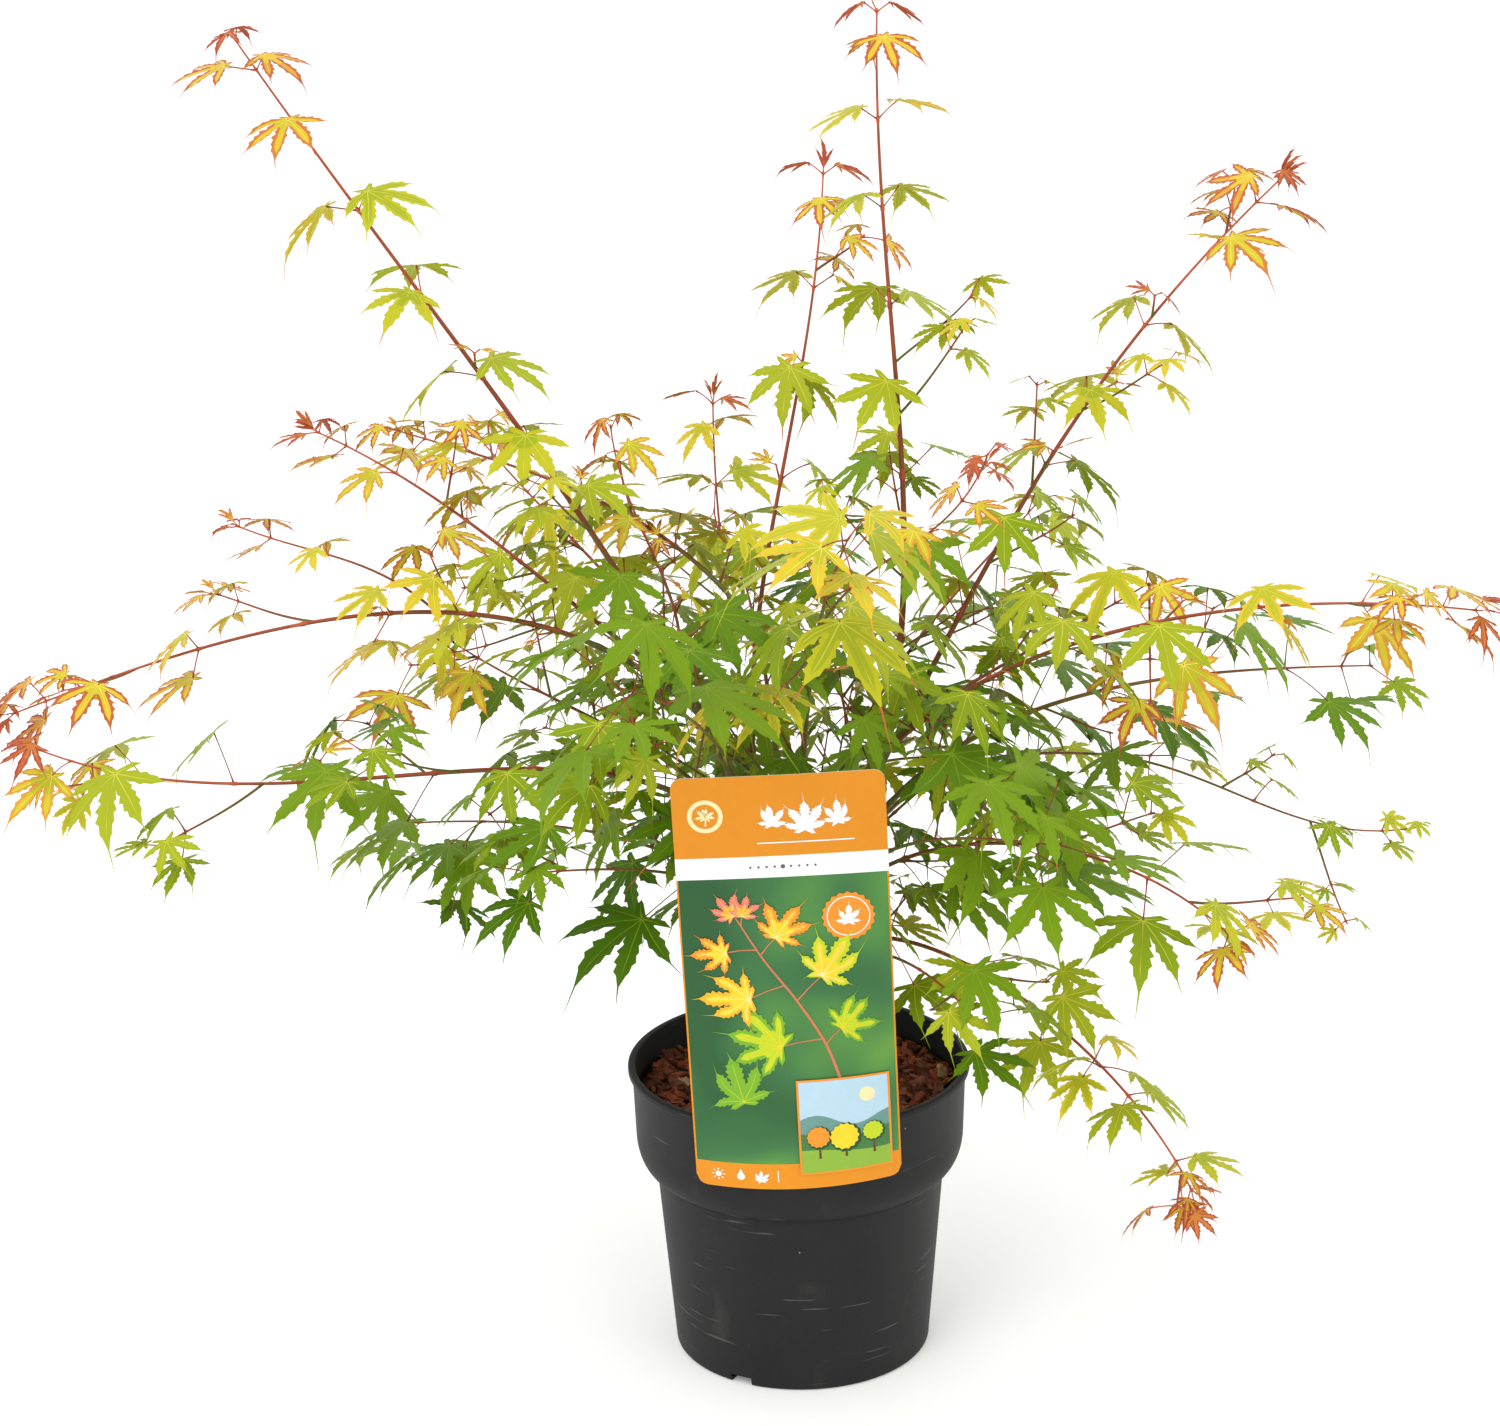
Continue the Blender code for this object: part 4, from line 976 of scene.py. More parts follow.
def make_card():
    """The card's sheet, with its bands printed on the front."""
    half = CARD_WIDTH / 2
    columns = steps_between((-half, -half + CARD_RIM, -half + CARD_CORNER,
                             half - CARD_CORNER, half - CARD_RIM, half), 0.005)
    rows = steps_between((0.0, CARD_CORNER, FIELD_FOOT, STRIPE_FOOT, HEADER_FOOT,
                          CARD_HEIGHT - CARD_CORNER, CARD_HEIGHT), 0.006)
    points = [card_point(*rounded(a, u), depth) for depth in (0.0, CARD_THICKNESS)
              for u in rows for a in columns]
    heap = Heap()
    heap.add(points, *card_faces(columns, rows))
    finishes = [card_ink("card_white", (0.92, 0.92, 0.90), 0.012),
                card_ink("card_orange", ink(222, 140, 28), 0.012), card_field()]
    card = heap.piece("card_sheet", finishes)
    card.data.set_sharp_from_angle(angle=math.radians(50))
    settle(card, "card_board", "plant_card")
    finish_with(NODES["card_tongue"], card_ink("tongue_card", (0.84, 0.83, 0.79), 0.03))


def card_faces(columns, rows):
    """Faces of the card's front, back and cut edges, with the ink of each."""
    wide = len(columns)
    back = len(rows) * wide
    faces, tints = [], []
    for j in range(len(rows) - 1):
        for i in range(wide - 1):
            a, b = j * wide + i, j * wide + i + 1
            faces.append((a, b, b + wide, a + wide))
            across = (columns[i] + columns[i + 1]) / 2
            up = (rows[j] + rows[j + 1]) / 2
            tints.append(band_at(across, up))
            faces.append((a + wide + back, b + wide + back, b + back, a + back))
            tints.append(0)
    ring = ([i for i in range(wide - 1)]
            + [j * wide + wide - 1 for j in range(len(rows) - 1)]
            + [(len(rows) - 1) * wide + i for i in range(wide - 1, 0, -1)]
            + [j * wide for j in range(len(rows) - 1, 0, -1)])
    for a, b in zip(ring, ring[1:] + ring[:1]):
        faces.append((b, a, a + back, b + back))
        tints.append(0)
    return faces, tints


def band_at(across, up):
    """Which ink covers a place on the card: 0 white, 1 orange, 2 the green field."""
    if up > HEADER_FOOT or up < FIELD_FOOT:
        return 1
    if up > STRIPE_FOOT:
        return 0
    return 1 if abs(across) > CARD_WIDTH / 2 - CARD_RIM else 2


class Print:
    """Thin inlays of ink on the card's face, in layers one just proud of the other."""

    def __init__(self):
        self.heap = Heap()
        self.names = [name for name, _ in PRINT_INKS]

    def lay(self, places, faces, inks, layer):
        depth = -(PRINT_GAP + PRINT_LAYER * layer)
        points = [card_point(across, up, depth) for across, up in places]
        self.heap.add(points, faces, [self.names.index(name) for name in inks])

    def patch(self, left, right, low, high, ink_name, layer):
        """A patch between two curves that give its lower and upper edge."""
        wide = max(1, math.ceil((right - left) / PRINT_STEP))
        columns = [left + (right - left) * k / wide for k in range(wide + 1)]
        tall = max(1, math.ceil(max(high(a) - low(a) for a in columns) / PRINT_STEP))
        places = [(a, low(a) + (high(a) - low(a)) * k / tall)
                  for k in range(tall + 1) for a in columns]
        faces = []
        for k in range(tall):
            for n in range(wide):
                corner = k * (wide + 1) + n
                faces.append((corner, corner + 1, corner + wide + 2, corner + wide + 1))
        self.lay(places, faces, [ink_name] * len(faces), layer)

    def disc(self, middle, radius, ink_name, layer, hole=0.0, sides=32, wave=0.0):
        """A disc or ring, its edge drawn in and out by the wave for a seal or a tree."""
        rings = max(1, math.ceil((radius - hole) / PRINT_STEP))
        places = [] if hole else [middle]
        faces = []
        for k in range(0 if hole else 1, rings + 1):
            reach = hole + (radius - hole) * k / rings
            for n in range(sides):
                angle = math.tau * n / sides
                edge = reach * (1 + (wave * (-1) ** n if k == rings else 0.0))
                places.append((middle[0] + edge * math.cos(angle),
                               middle[1] + edge * math.sin(angle)))
        first = 0 if hole else 1
        if not hole:
            faces += [(0, 1 + n, 1 + (n + 1) % sides) for n in range(sides)]
        for k in range(rings if hole else rings - 1):
            low = first + k * sides
            for n in range(sides):
                m = (n + 1) % sides
                faces.append((low + n, low + sides + n, low + sides + m, low + m))
        self.lay(places, faces, [ink_name] * len(faces), layer)

    def line(self, places, widths, ink_name, layer):
        """A ribbon along some places, as wide at each as its width says."""
        left, right = [], []
        for k, (x, y) in enumerate(places):
            before, after = places[max(0, k - 1)], places[min(len(places) - 1, k + 1)]
            run = math.hypot(after[0] - before[0], after[1] - before[1])
            out = (-(after[1] - before[1]) / run, (after[0] - before[0]) / run)
            half = widths[k] / 2
            left.append((x + out[0] * half, y + out[1] * half))
            right.append((x - out[0] * half, y - out[1] * half))
        count = len(places)
        faces = [(k, count + k, count + k + 1, k + 1) for k in range(count - 1)]
        self.lay(left + right, faces, [ink_name] * len(faces), layer)

    def leaf(self, shape, place, size, turn, inks, layer):
        """A flat leaf with its rib, heart, blade and margin in four inks."""
        c, s = math.cos(math.radians(turn)), math.sin(math.radians(turn))
        places = [(place[0] + (x * c - y * s) * size, place[1] + (x * s + y * c) * size)
                  for x, y, _ in shape.points]
        by_zone = (*inks, inks[-1])
        self.lay(places, shape.faces, [by_zone[zone] for zone in shape.zones], layer)


def smooth_path(marks, count):
    """Points on a smooth line through some marks."""
    path = []
    for k in range(len(marks) - 1):
        before = marks[max(0, k - 1)]
        low, high = marks[k], marks[k + 1]
        after = marks[min(len(marks) - 1, k + 2)]
        for n in range(count):
            t = n / count
            path.append(tuple(
                0.5 * (2 * q + (r - p) * t + (2 * p - 5 * q + 4 * r - u) * t * t
                       + (3 * q - p - 3 * r + u) * t ** 3)
                for p, q, r, u in zip(before, low, high, after)))
    return path + [marks[-1]]


def print_spray(sheet, shapes):
    """A young spray of leaves that crosses the green field."""
    path = smooth_path(SPRAY_STEM, 8)
    sheet.line(path, [0.0017 - 0.0009 * k / len(path) for k in range(len(path))],
               "print_stem", 3)
    for number, (across, up, size, turn, inks) in enumerate(SPRAY_LEAVES[:-1]):
        joint = min(path, key=lambda p: math.hypot(p[0] - across, p[1] - up + 0.006))
        sheet.line([joint, ((joint[0] + across) / 2, (joint[1] + up) / 2 + 0.0006),
                    (across, up)], [0.0009, 0.0006, 0.0007], "print_stem", 2)
        sheet.leaf(shapes[number % len(shapes)], (across, up), size, turn, inks, 4 + number)
    across, up, size, turn, inks = SPRAY_LEAVES[-1]
    sheet.leaf(shapes[3], (across, up), size, turn, inks, 1)


def print_header(sheet, shapes):
    """White leaves over a fine rule, and a ring with a sprout in it."""
    for number, (across, up, size, turn) in enumerate(HEADER_LEAVES):
        sheet.leaf(shapes[number], (across, up), size, turn, LEAF_WHITE, 1)
    rule = [(RULE_START[0] + RULE_STEP * k, RULE_START[1]) for k in range(RULE_MARKS)]
    sheet.line(rule, [RULE_WIDTH] * RULE_MARKS, "print_white", 1)
    sheet.disc(EMBLEM_PLACE, EMBLEM_RADII[1], "print_cream", 1, EMBLEM_RADII[0], 40)
    across, up = EMBLEM_PLACE
    sheet.line([(across, up - 0.0055), (across + 0.0003, up - 0.001), (across, up + 0.0015)],
               [0.0009, 0.0007, 0.0006], "print_cream", 1)
    for turn in (EMBLEM_LEAF_TURN, -EMBLEM_LEAF_TURN):
        sheet.leaf(shapes[4], (across, up - 0.0005), EMBLEM_LEAF, turn, LEAF_CREAM, 2)
    for k in range(-DOTS_EACH_SIDE, DOTS_EACH_SIDE + 1):
        middle = (0.0005 + k * DOT_SPACING, (HEADER_FOOT + STRIPE_FOOT) / 2)
        sheet.disc(middle, DOT_RADII[k == 0], "print_grey", 1, 0.0, 12)


def print_view(sheet):
    """The framed view: sky, hills, a meadow and three round trees under a low sun."""
    left, foot, right, top = VIEW_FRAME
    sheet.patch(left, right, lambda a: foot, lambda a: top, "print_orange", VIEW_LAYER)
    left, right = left + VIEW_BORDER, right - VIEW_BORDER
    foot, top = foot + VIEW_BORDER, top - VIEW_BORDER
    sheet.patch(left, right, lambda a: foot, lambda a: top, "print_sky", VIEW_LAYER + 1)
    across, down, radius = VIEW_SUN
    sheet.disc((left + across, top - down), radius, "print_cream", VIEW_LAYER + 2, 0.0, 24)
    for number, (rise, wave, swing, phase, colour) in enumerate(VIEW_HILLS):
        sheet.patch(left, right, lambda a: foot,
                    lambda a: foot + rise + wave * math.sin(a * swing + phase), colour,
                    VIEW_LAYER + 3 + number)
    for number, (across, up, radius, colour) in enumerate(VIEW_TREES):
        layer = VIEW_LAYER + 6
        sheet.line([(across, foot + 0.008), (across, up)], [0.0014, 0.0009], "print_wood", layer)
        layer += 1 + number
        sheet.disc((across, up + radius * 0.6), radius, "print_dark", layer, 0.0, 28, 0.05)
        sheet.disc((across - radius * 0.08, up + radius * 0.68), radius * 0.88, colour,
                   layer + len(VIEW_TREES), 0.0, 28, 0.06)


def print_marks(sheet, shapes):
    """The seal on the field and small white marks on the foot."""
    sheet.disc(SEAL_PLACE, SEAL_RADIUS, "print_orange", 3, 0.0, 40, 0.045)
    sheet.disc(SEAL_PLACE, SEAL_RADIUS * 0.84, "print_white", 4, SEAL_RADIUS * 0.80, 40)
    sheet.leaf(shapes[5], (SEAL_PLACE[0], SEAL_PLACE[1] - 0.0035), 0.0105, 0,
               LEAF_WHITE, 4)
    thin = [FOOT_LINE, FOOT_LINE]
    sheet.disc(FOOT_SUN, FOOT_SUN_RADIUS, "print_white", 1, 0.0, 16)
    for k in range(FOOT_RAY_COUNT):
        angle = math.tau * k / FOOT_RAY_COUNT
        c, s = math.cos(angle), math.sin(angle)
        sheet.line([(FOOT_SUN[0] + c * reach, FOOT_SUN[1] + s * reach) for reach in FOOT_RAYS],
                   thin, "print_white", 1)
    across, up = FOOT_DROP
    sheet.disc(FOOT_DROP, 0.0021, "print_white", 1, 0.0, 16)
    sheet.line([(across, up + 0.0010), (across, up + 0.0046)], [0.0032, 0.0001],
               "print_white", 1)
    sheet.leaf(shapes[6], FOOT_LEAF, 0.0068, 0, LEAF_WHITE, 1)
    across, low, high = FOOT_BAR
    sheet.line([(across, low), (across, high)], thin, "print_white", 1)


def make_print():
    """Everything printed on the card, in one piece of inlays."""
    chance = random.Random("card print")
    lobes = LEAF_KINDS["flushed"]["lobes"][:5]
    lobes += ((-112, 0.34, 1), (112, 0.34, 1))
    shapes = [LeafShape(lobes, 0.155, 0.40, (0.0, 0.0), chance, True) for _ in range(9)]
    sheet = Print()
    print_header(sheet, shapes)
    print_spray(sheet, shapes)
    print_marks(sheet, shapes)
    print_view(sheet)
    inks = [card_ink(name, colour, 0.02) for name, colour in PRINT_INKS]
    settle(sheet.heap.piece("card_print", inks, smooth=False), "card_board")


# Trunk, boughs and stems
class Limb:
    """A tapering curve that leaves one point at one slope and arrives at another."""

    def __init__(self, start, tip, leave, arrive, side, thick, thin):
        run = tip - start
        flat = Vector((run.x, run.y, 0.0)).normalized()
        leaving = Matrix.Rotation(math.radians(side), 3, "Z") @ flat
        reach = HANDLE * run.length
        up = Vector((0, 0, 1))
        first = leaving * math.cos(math.radians(leave)) + up * math.sin(math.radians(leave))
        last = flat * math.cos(math.radians(arrive)) + up * math.sin(math.radians(arrive))
        self.marks = (start, start + first * reach, tip - last * reach, tip)
        self.thick = thick
        self.thin = thin
        marks = [self.point(k / LENGTH_STEPS) for k in range(LENGTH_STEPS + 1)]
        self.length = sum((high - low).length for low, high in zip(marks, marks[1:]))

    def point(self, t):
        a, b, c, d = self.marks
        s = 1 - t
        return a * s ** 3 + b * (3 * t * s * s) + c * (3 * t * t * s) + d * t ** 3

    def heading(self, t):
        low, high = max(0.0, t - HEADING_STEP), min(1.0, t + HEADING_STEP)
        return (self.point(high) - self.point(low)).normalized()

    def radius(self, t):
        return self.thin + (self.thick - self.thin) * max(0.0, 1 - t) ** TAPER_POWER

    def share(self, distance):
        """A distance along the limb as a share of its length."""
        return distance / self.length


class Trunk(Limb):
    """The short main stem, with a root flare and a graft swelling."""

    def __init__(self):
        start = Vector((0.0, 0.0, TRUNK_FOOT_Z))
        super().__init__(start, Vector(TRUNK_FORK), 90, TRUNK_ARRIVE, 0,
                         TRUNK_BASE_RADIUS, TRUNK_FORK_RADIUS)

    def radius(self, t):
        up = t * self.length
        flare = ROOT_FLARE * math.exp(-up / FLARE_HEIGHT)
        graft = GRAFT_BULGE * math.exp(-((up - GRAFT_HEIGHT) / GRAFT_SPREAD) ** 2)
        return super().radius(t) + flare + graft


def grow_limbs():
    """All limbs by name, each starting on its parent's curve."""
    limbs = {"trunk": Trunk()}
    for name, plan in SHOOTS.items():
        heading = math.radians(plan["heading"])
        reach = plan["reach"] / 1000
        tip = Vector((reach * math.cos(heading), reach * math.sin(heading),
                      plan["height"] / 1000))
        start = limbs[plan["parent"]].point(plan["at"])
        limbs[name] = Limb(start, tip, plan["leave"], plan["arrive"], SIDEWAYS.get(name, 0),
                           plan["thick"] / 1000, LIMB_TIP_RADIUS)
    return limbs


def across_frame(heading):
    """Two directions across a heading, the first one level."""
    level = heading.cross(Vector((0, 0, 1)))
    if level.length < 0.05:
        level = Vector((1, 0, 0))
    level = (level - heading * level.dot(heading)).normalized()
    return level, level.cross(heading)


def way_out(limb, t, turn):
    """A limb's heading at a place, and the way out from it at a turn about it."""
    heading = limb.heading(t)
    level, rise = across_frame(heading)
    return heading, level * math.cos(turn) + rise * math.sin(turn)


def slanting(outward, heading, lift):
    """The way a fine twig grows, between outward and forward, and lifted a little."""
    return (outward * FINE_OUTWARD + heading * FINE_FORWARD
            + Vector((0, 0, lift))).normalized()


def probe_twig(twig, shares, radius):
    """Points and faces of a coarse twig, for the clearance test."""
    count = len(shares)
    return tube([twig.point(s) for s in shares], [radius] * count, 3, lambda k, up: 0)[:2]


def tube(places, radii, sides, tint):
    """A closed tube: points, faces and tints. Tint takes the ring's number and how far a
    face looks up, from -1 to 1."""
    points, faces, tints = [], [], []
    level = None
    for k, (middle, radius) in enumerate(zip(places, radii)):
        low, high = places[max(0, k - 1)], places[min(len(places) - 1, k + 1)]
        heading = (high - low).normalized()
        if level is None:
            level, rise = across_frame(heading)
        else:
            level = (level - heading * level.dot(heading)).normalized()
            rise = level.cross(heading)
        for n in range(sides):
            angle = math.tau * n / sides
            out = level * math.cos(angle) + rise * math.sin(angle)
            points.append(middle + out * (radius(angle) if callable(radius) else radius))
    for k in range(len(places) - 1):
        for n in range(sides):
            m = (n + 1) % sides
            a = k * sides
            faces.append((a + n, a + n + sides, a + m + sides, a + m))
            facing = (points[a + n] + points[a + m] - places[k] * 2).normalized().z
            tints.append(tint(k, facing))
    last = (len(places) - 1) * sides
    faces.append(tuple(range(sides)))
    faces.append(tuple(last + n for n in range(sides - 1, -1, -1)))
    tints += [tint(0, 0.0), tint(len(places) - 1, 0.0)]
    return points, faces, tints


def node_shape(name):
    """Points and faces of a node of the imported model."""
    body = NODES[name]
    return ([body.matrix_world @ vert.co for vert in body.data.vertices],
            [tuple(face.vertices) for face in body.data.polygons])


def stem_start(limb, node):
    """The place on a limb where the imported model's leafy stem begins."""
    tree = BVHTree.FromPolygons(*node_shape(node))
    step = limb.share(STEM_SCAN)
    t = 0.0
    while t < 1.0:
        if tree.find_nearest(limb.point(t))[3] < STEM_SCAN:
            return t
        t += step
    return 1.0


def bark_radius(limb, t, knots, angle):
    """A bough's radius: fine ridges, a collar at its foot and swollen old leaf nodes."""
    radius = limb.radius(t) * (1.0 if limb.thick > LIMB_LIMIT else STEM_SLIMNESS)
    up = t * limb.length
    collar = BARK_COLLAR * math.exp(-up / (radius * BARK_COLLAR_LENGTH))
    knot = sum(math.exp(-((up - k) / BARK_KNOT_SPREAD) ** 2) for k in knots)
    place = limb.point(t)
    ridge = noise.noise(Vector((math.cos(angle) * 2.2, math.sin(angle) * 2.2, up * 90)))
    lump = noise.noise(place * 240)
    relief = BARK_RELIEF * (RIDGE_SHARE * ridge + LUMP_SHARE * lump)
    return radius * (1 + collar + BARK_KNOT * knot + relief)


def make_bark(limbs, starts):
    """Trunk and boughs in one mesh, from the soil to where the leafy stems begin."""
    heap = Heap()
    for name, limb in limbs.items():
        if name in FINE_SHOOTS:
            continue
        end = starts.get(name, 1.0)
        end = min(1.0, end + limb.share(STEM_LAP))
        rings = max(3, round(limb.length * end / BARK_RING_SPACING))
        sides = TRUNK_SIDES if name == "trunk" else BOUGH_SIDES
        knots = [] if name == "trunk" else [INTERNODE * (k + BARK_FIRST_KNOT)
                                            for k in range(BARK_KNOTS)]
        marks = [end * k / rings for k in range(rings + 1)]
        radii = [lambda angle, t=t: bark_radius(limb, t, knots, angle) for t in marks]
        heap.add(*tube([limb.point(t) for t in marks], radii, sides, lambda k, up: 0))
    bark = heap.piece("bark_relief", [young_bark()])
    settle(bark, "bark", "trunk", *[n for n in NODES if n.endswith("_bough")])


# Leaves
class LeafShape:
    """A leaf one unit long: its petiole ends at the origin, its middle lobe runs along +Y.
    Zones of its faces: 0 rib, 1 heart, 2 blade, 3 margin, 4 tail."""

    def __init__(self, lobes, wide, cut, folds, chance, margins):
        self.points = []
        self.faces = []
        self.zones = []
        self.sag = chance.uniform(*LEAF_SAG)
        self.fold = chance.uniform(*folds)
        self.wide = wide
        self.cut = cut
        self.chance = chance
        self.margins = margins
        ring = [(math.radians(angle + chance.gauss(0, LOBE_TURN_SPREAD)),
                 length * chance.uniform(*LOBE_LENGTH_SPREAD), teeth)
                for angle, length, teeth in sorted(lobes)]
        self.outline = [(0.0, 0.0)]
        self.hubs, self.sinuses, self.depths = [], [], []
        for number, lobe in enumerate(ring):
            self.add_gap(lobe, ring[(number + 1) % len(ring)], number == len(ring) - 1)
        for number, lobe in enumerate(ring):
            self.add_lobe(lobe, number - 1, number)
        self.add_face(self.hubs[::-1], 0)
        self.array = np.array(self.points)
        self.fan = self.coarse_faces()

    def coarse_faces(self):
        """Triangles between the outline's points, for the clearance test."""
        count = (len(self.outline) - 1) // 2
        gaps = range(1, count + 1)
        tips = range(count + 1, 2 * count + 1)
        return ([(0, gaps[n - 1], tips[n]) for n in range(count)]
                + [(0, tips[n], gaps[n]) for n in range(count)])

    def add_point(self, x, y, lift=0.0):
        reach = math.hypot(x, y)
        tail = TAIL_DROP * max(0.0, reach - TAIL_DROP_FROM) ** 2
        self.points.append((x, y, lift - self.sag * reach * reach - tail))
        return len(self.points) - 1

    def add_face(self, corners, zone):
        self.faces.append(tuple(corners))
        self.zones.append(zone)

    def add_gap(self, lobe, following, last):
        """The notch between two lobes, or the open side that the petiole comes from."""
        angle = math.pi if last else (lobe[0] + following[0]) / 2
        depth = LEAF_OPEN_DEPTH if last else self.cut * math.sqrt(lobe[1] * following[1])
        hub = (LEAF_HUB * math.sin(angle), LEAF_HUB * math.cos(angle))
        self.hubs.append(self.add_point(*hub))
        self.sinuses.append(self.add_point(depth * math.sin(angle), depth * math.cos(angle),
                                           self.fold * depth * 0.35))
        self.depths.append(depth)
        self.outline.append((depth * math.sin(angle), depth * math.cos(angle)))

    def half_width(self, share):
        return self.wide * float(np.interp(share, *zip(*LOBE_WIDTHS)))

    def add_lobe(self, lobe, before, after):
        """One toothed lobe with its rib, from the leaf's heart to its thin tail."""
        angle, length, teeth = lobe
        sway = self.chance.gauss(0, LOBE_SWAY)
        foot = max(LOBE_LEAST_FOOT, (self.depths[before] + self.depths[after]) * 0.47 / length)
        marks = [foot + (LOBE_SHOULDER - foot) * (k / teeth) ** TOOTH_CROWDING
                 for k in range(teeth + 1)]

        def spot(share, off, lift=0.0):
            bend = sway * max(0.0, share - 0.3) ** 2
            x = share * length * math.sin(angle) + (off + bend) * math.cos(angle)
            y = share * length * math.cos(angle) - (off + bend) * math.sin(angle)
            return self.add_point(x, y, lift + self.fold * abs(off))

        self.outline.append((length * 0.97 * math.sin(angle), length * 0.97 * math.cos(angle)))
        thin = [RIB_HALF_WIDTH * (1 - 0.6 * mark) for mark in marks]
        ribs = {side: [spot(mark, side * rib) for mark, rib in zip(marks[:-1], thin)]
                for side in (-1, 1)}
        rib_end = spot(marks[-1], 0.0)
        ends = {}
        for side, gap in ((-1, before), (1, after)):
            ribs[side].append(rib_end)
            notches, tips = self.toothed_edge(spot, marks, length, side)
            notches.insert(0, self.sinuses[gap])
            self.add_half(ribs[side], notches, tips, side)
            ends[side] = notches[-1]
            web = [self.hubs[gap], self.sinuses[gap], ribs[side][0]]
            self.add_face(web[::side], 1)
        rib = [self.hubs[before], self.hubs[after], *ribs[1], *ribs[-1][-2::-1]]
        self.add_face(rib, 0)
        thins = [spot(TAIL_FROM, side * TAIL_HALF_WIDTH * length) for side in (-1, 1)]
        end = spot(1.0 + self.chance.uniform(*TAIL_LENGTH), self.chance.gauss(0, TAIL_SWAY))
        self.add_face((rib_end, ends[1], thins[1], thins[0], ends[-1]), 3)
        self.add_face((thins[0], thins[1], end), 4)

    def toothed_edge(self, spot, marks, length, side):
        """The notches and the tips of the teeth along one side of a lobe."""
        foot = marks[0]
        notches, tips = [], []
        for low, high in zip(marks, marks[1:]):
            tip = low + (high - low) * self.chance.uniform(*TOOTH_PLACE)
            share = (tip - foot) / (1 - foot)
            wide = self.half_width(share) * length * self.chance.uniform(*TOOTH_REACH)
            tips.append(spot(tip, side * wide, self.chance.gauss(0, TOOTH_LIFT)))
            share = (high - foot) / (1 - foot)
            wide = self.half_width(share) * length * TOOTH_NOTCH
            notches.append(spot(high, side * wide))
        return notches, tips

    def add_half(self, rib, notches, tips, side):
        """The faces of one side of a lobe, in one row or with a margin of their own."""
        inner = rib
        if self.margins:
            inner = [self.between(low, high) for low, high in zip(rib[:-1], notches)]
            inner.append(rib[-1])
            for k in range(len(tips)):
                face = [rib[k], inner[k], inner[k + 1]]
                face += [rib[k + 1]] if rib[k + 1] != inner[k + 1] else []
                self.add_face(face[::side], 2 if k else 1)
        for k, tip in enumerate(tips):
            face = [inner[k], notches[k], tip, notches[k + 1], inner[k + 1]]
            self.add_face(face[::side], 3 if self.margins else 2)

    def between(self, low, high):
        (x, y, z), (u, v, w) = self.points[low], self.points[high]
        s = MARGIN_SHARE
        self.points.append((x + (u - x) * s, y + (v - y) * s, z + (w - z) * s))
        return len(self.points) - 1


def make_leaf_shapes():
    """A dozen or so leaves of each kind, no two of them alike."""
    kinds = {}
    for name, plan in LEAF_KINDS.items():
        chance = random.Random(name)
        kinds[name] = [LeafShape(plan["lobes"], plan["wide"], plan["cut"], plan["folds"],
                                 chance, plan["margins"]) for _ in range(plan["count"])]
    return kinds


def leaf_pairs(limb, first, chance):
    """Places along a limb, from the tip down, at which it bears a pair of leaves."""
    span = limb.length * (1 - first)
    places = []
    down = FIRST_PAIR_DOWN
    while down < span - LAST_PAIR_UP:
        count = len(places)
        places.append(1 - down / limb.length)
        share = TIP_INTERNODES[count] if count < len(TIP_INTERNODES) else 1.0
        down += INTERNODE * share * chance.uniform(*INTERNODE_SPREAD)
    return places


def leaf_place(limb, t, turn, petiole, droop, roll):
    """The blade's frame and the point on the limb's axis that its petiole grows from."""
    heading, outward = way_out(limb, t, turn)
    along = (outward * PETIOLE_OUTWARD + heading * PETIOLE_FORWARD
             + Vector((0, 0, PETIOLE_LIFT))).normalized()
    root = limb.point(t)
    base = root + along * petiole
    flat = Vector((along.x, along.y, 0.0))
    tipward = Vector((heading.x, heading.y, 0.0))
    if flat.length < LEAST_SPREAD and flat.dot(tipward) > -0.1 * flat.length:
        flat = flat + tipward * TIPWARD_PULL
    flat.normalize()
    axis = flat * math.cos(droop) + Vector((0, 0, -math.sin(droop)))
    return blade_frame(base, axis, roll), root


def blade_frame(base, axis, roll):
    """A blade's frame from its base, the way its middle lobe points and its roll."""
    across = axis.cross(Vector((0, 0, 1))).normalized()
    across = Matrix.Rotation(roll, 3, axis) @ across
    normal = across.cross(axis)
    place = Matrix((across, axis, normal)).transposed().to_4x4()
    place.translation = base
    return place


class Thicket:
    """What has grown so far, so that nothing new runs through it."""

    def __init__(self):
        self.things = []

    def measured(self, points, faces):
        """A thing's middle, how far it reaches from there, and its tree of faces."""
        middle = sum(points, Vector()) / len(points)
        reach = max((point - middle).length for point in points)
        return middle, reach, BVHTree.FromPolygons(points, faces)

    def add(self, points, faces):
        self.things.append(self.measured(points, faces))

    def is_clear(self, points, faces):
        middle, reach, tree = self.measured(points, faces)
        return not any((other - middle).length < far + reach and tree.overlap(thing)
                       for other, far, thing in self.things)


